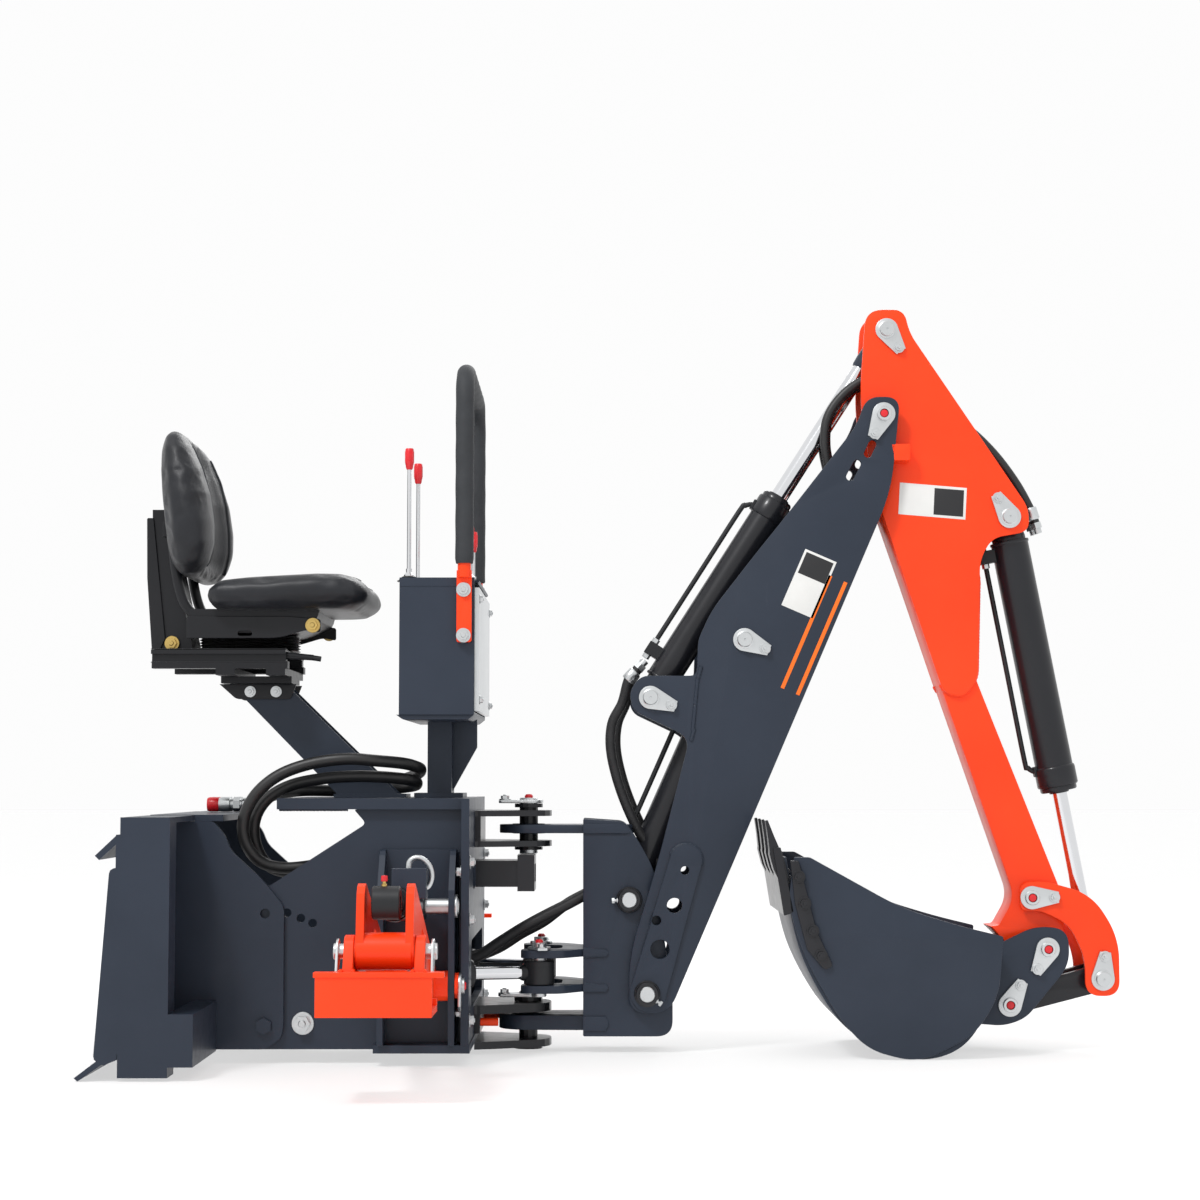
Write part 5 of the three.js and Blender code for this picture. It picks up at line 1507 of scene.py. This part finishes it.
# ---------------------------------------------------------------- frame and stabiliser details
def make_frame_details():
    bolts = Shape()
    for sign in SIDES:
        bolts.on_pin((-0.648, 0.080), 0.2697, sign).bolt(0.032)
        for z in (0.090, 0.290, 0.405):
            bolts.at((-0.3097, sign * 0.312, z), (1, 0, 0)).bolt(0.019)
        for z in (0.105, 0.385):
            bolts.at((-0.3262, sign * 0.312, z), (-1, 0, 0)).bolt(0.019)
    bolts.done("frame_bolts", "frame", "zinc_plate")
    beads = Shape()
    for sign in SIDES:
        y = sign * 0.2702
        beads.weld([(-0.700, y, 0.5105), (-0.560, y, 0.5105)], 0.003)
        beads.weld([(-0.495, y, 0.0435), (-0.345, y, 0.0435)], 0.003)
        for x in (-0.4935, -0.3365):
            beads.weld([(x, y, 0.05), (x, y, 0.425)], 0.003)
    for z in (0.494, 0.442):
        beads.weld([(-0.3085, -0.108, z), (-0.3085, 0.108, z)], 0.003)
    beads.done("frame_welds", "frame", "grey_paint")
    lock = Shape()
    for sign in SIDES:
        lock.at((-0.3085, sign * 0.085, 0.065), (1, 0, 0)).disc(0.0085, 0, 0.048)
    lock.done("swing_lock_bars", "frame", "orange_paint")

    pins = Shape()
    for low, high in ((0.4135, 0.5205), (0.0, 0.1105)):
        pins.at((-0.200, 0, 0)).disc(0.0195, max(low, 0.001), high + 0.012, 0.0015)
        pins.at((-0.200, 0, high), (0, 0, 1), (-1, -0.25, 0)).plate(flag_outline(0.052, 0.031, 0.013),
                                                                    0.0005, 0.0075)
        pins.at((-0.200 - 0.0505, -0.0126, high + 0.0075)).bolt(0.018)
    pins.done("swing_pins", "frame", "zinc_plate")
    caps = Shape()
    for z in (0.5325, 0.1225):
        caps.at((-0.200, 0, z)).lathe([(0, -0.002), (0.009, -0.002), (0.009, 0.004), (0.006, 0.0075),
                                       (0, 0.008)], 24)
    caps.done("swing_grease_caps", "frame", "red_plastic")


PAD_X = (-0.549, -0.320)
SKIRT_X = (-0.546, -0.341)


def make_pads():
    """A stabiliser's shoe: a wide lip over a narrower skirt, with two ears round the pad pin."""
    for sign in SIDES:
        word = SIDE_NAME[sign]
        shoe = Shape()
        slabs = [
            (SKIRT_X, (0.812, 0.956), (0.156, 0.166)), (SKIRT_X, (0.812, 0.822), (0.156, 0.178)),
            (SKIRT_X, (0.947, 0.9575), (0.156, 0.228)), (PAD_X, (0.934, 0.960), (0.2255, 0.235)),
        ]
        for x, y, z in slabs:
            low, high = sorted((sign * y[0], sign * y[1]))
            shoe.box((x[0], low, z[0]), (x[1], high, z[1]))
        ear = outline([(sign * 812, 165), (sign * 952, 165), (sign * 952, 212), (sign * 908, 296, 16),
                       (sign * 872, 296, 16), (sign * 812, 205)])
        for x in (-0.500, -0.374):
            shoe.at((x, 0, 0), (1, 0, 0), (0, 1, 0)).plate(ear, 0, 0.018, (), 0.0015)
        shoe.done(f"stabilizer_shoe_{word}", f"stabilizer_pad_{word}", "orange_paint",
                  (f"stabilizer_pad_{word}",), None, 0.0012)
        beads = Shape()
        for x in (-0.502, -0.480, -0.376, -0.354):
            beads.weld([(x, sign * 0.936, 0.236), (x, sign * 0.9565, 0.236)], 0.0032)
        beads.done(f"stabilizer_shoe_welds_{word}", f"stabilizer_pad_{word}", "orange_paint")


def make_stabilizer_details():
    for sign in SIDES:
        word = SIDE_NAME[sign]
        pins, sleeves, caps = Shape(), Shape(), Shape()
        y, z = STABILIZER_FOOT
        for face, out in ((-0.500, -1), (-0.330, 1)):
            pins.at((face, sign * y, z), (out, 0, 0), (0, sign * 0.6, -1))
            pins.plate(flag_outline(0.042, 0.0255, 0.011), 0, 0.006)
            pins.ring(0.0095, 0.0165, 0.005, 0.012)
            caps.at((face, sign * y, z), (out, 0, 0)).lathe([(0, 0.004), (0.009, 0.004), (0.009, 0.012),
                                                             (0.006, 0.015), (0, 0.0155)], 24)
        pins.done(f"stabilizer_foot_pins_{word}", f"stabilizer_arm_{word}", "zinc_plate")
        caps.done(f"stabilizer_grease_caps_{word}", f"stabilizer_arm_{word}", "red_plastic")
        y, z = PAD_PIN
        pins = Shape()
        for face, out in ((-0.510, -1), (-0.346, 1)):
            pins.at((face, sign * y, z), (out, 0, 0), (0, sign * 0.7, -1))
            pins.plate(flag_outline(0.038, 0.0225, 0.010), 0, 0.005)
            pins.ring(0.0085, 0.0145, 0.004, 0.010)
        pins.at((-0.512, sign * y, z), (1, 0, 0)).disc(0.0138, 0, 0.168)
        pins.done(f"stabilizer_pad_pins_{word}", f"stabilizer_pad_{word}", "zinc_plate")
        sleeves.at((-0.479, sign * y, z), (1, 0, 0), (0, 1, 0))
        sleeves.ring(0.0145, 0.0335, -0.0005, 0.100, 0.002)
        sleeves.done(f"stabilizer_sleeves_{word}", f"stabilizer_arm_{word}", "orange_paint")


FILM = (0.0001, 0.0006)
FIELD = (0.0006, 0.0009)


def on_face(face, layer):
    """A thin layer's two values of Y, out from a plate's face."""
    return (face + layer[0], face + layer[1])


def turned_box(middle, along, low, high):
    """The corners of a box measured from middle, along a direction and across it."""
    across = Vector((-along.y, along.x))
    corners = ((low[0], low[1]), (high[0], low[1]), (high[0], high[1]), (low[0], high[1]))
    return [middle + along * a + across * b for a, b in corners]


def make_labels():
    """Blank generic plates where the real machine carries printed ones."""
    label, ink, band = Shape(), Shape(), Shape()
    film, field = on_face(BOOM_Y[1], FILM), on_face(BOOM_Y[1], FIELD)
    along = (Vector((0.571, 1.182)) - Vector((0.104, 0.105))).normalized()
    middle = Vector((0.395, 0.985))
    stripe_start = Vector((0.345, 0.760))
    for sign in SIDES:
        label.one_side(turned_box(middle, along, (-0.065, -0.036), (0.065, 0.036)), sign, film, (), 0.0001)
        ink.one_side(turned_box(middle, along, (0.012, -0.031), (0.060, 0.031)), sign, field, (), 0.0001)
        for wide in (0.0045, -0.0305):
            stripe = turned_box(stripe_start, along, (0.0, wide), (0.26, wide + 0.008))
            band.one_side(stripe, sign, film, (), 0.0001)
    label.done("boom_label", "boom", "grey_paint", (), "label")
    ink.done("boom_label_field", "boom", "grey_paint", (), "ink")
    band.done("boom_stripes", "boom", "orange_paint", (), "band")
    label, ink = Shape(), Shape()
    film, field = on_face(DIPPER_Y[1], FILM), on_face(DIPPER_Y[1], FIELD)
    plate = [(0.594, 1.205), (0.737, 1.193), (0.733, 1.125), (0.590, 1.137)]
    dark = [(0.668, 1.193), (0.731, 1.188), (0.728, 1.131), (0.665, 1.136)]
    for sign in SIDES:
        label.one_side(plate, sign, film, (), 0.0001)
        ink.one_side(dark, sign, field, (), 0.0001)
    label.done("dipper_label", "dipper", "orange_paint", (), "label")
    ink.done("dipper_label_field", "dipper", "orange_paint", (), "ink")


# ---------------------------------------------------------------- what stays, and the studio
def dress_cad_nodes():
    """Every CAD node that stays gets its slot's material and softened edges."""
    slots = {row["node"]: row["material_slot"] for row in frame["record"]["subparts"]}
    for name, obj in NODES.items():
        obj.data.materials.clear()
        obj.data.materials.append(MATERIAL[slots[name]])
        soften(obj, 0.0016)
        for polygon in obj.data.polygons:
            polygon.use_smooth = True


def add_light(name, place, target, power, size):
    data = bpy.data.lights.new(name, "AREA")
    data.energy = power
    data.size = size
    light = bpy.data.objects.new(name, data)
    bpy.context.scene.collection.objects.link(light)
    light.location = place
    light.rotation_euler = (Vector(target) - Vector(place)).to_track_quat("-Z", "Y").to_euler()


FLOOR_REACH = 40
FLOOR_Z = -0.0008


def make_studio():
    reach = FLOOR_REACH
    mesh = bpy.data.meshes.new("floor")
    mesh.from_pydata([(-reach, -reach, 0), (reach, -reach, 0), (reach, reach, 0), (-reach, reach, 0)], [],
                     [(0, 1, 2, 3)])
    floor = bpy.data.objects.new("floor", mesh)
    bpy.context.scene.collection.objects.link(floor)
    floor.location.z = FLOOR_Z
    s = Surface("pale_floor")
    s.color(s.mix(s.noise(2, 3), (0.92, 0.92, 0.92), (0.90, 0.90, 0.90)))
    # the boom digs below the ground, so the floor lets what is under it show through
    s.set(Roughness=0.85, Emission_Color=(1, 1, 1, 1), Emission_Strength=0.1, Alpha=0.45)
    floor.data.materials.append(s.material)

    world = bpy.data.worlds.new("studio")
    world.use_nodes = True
    background = world.node_tree.nodes["Background"]
    background.inputs["Color"].default_value = (1.0, 1.0, 1.0, 1)
    background.inputs["Strength"].default_value = 0.98
    bpy.context.scene.world = world
    bpy.context.scene.view_settings.view_transform = "Standard"
    add_light("key", (-2.4, -3.6, 5.6), (0, 0, 0.6), 210, 1.0)
    add_light("rim", (1.0, 4.0, 4.2), (0, 0, 0.8), 120, 3.0)


make_supply_hoses()
dress_cad_nodes()
make_pins()
make_arm_cylinders()
make_side_cylinders()
make_boom()
make_dipper()
make_bucket_links()
make_bucket()
make_mast()
make_seat()
make_console_details()
make_grab_bar()
make_levers()
make_arm_hoses()
make_frame_details()
make_pads()
make_stabilizer_details()
make_labels()
make_studio()
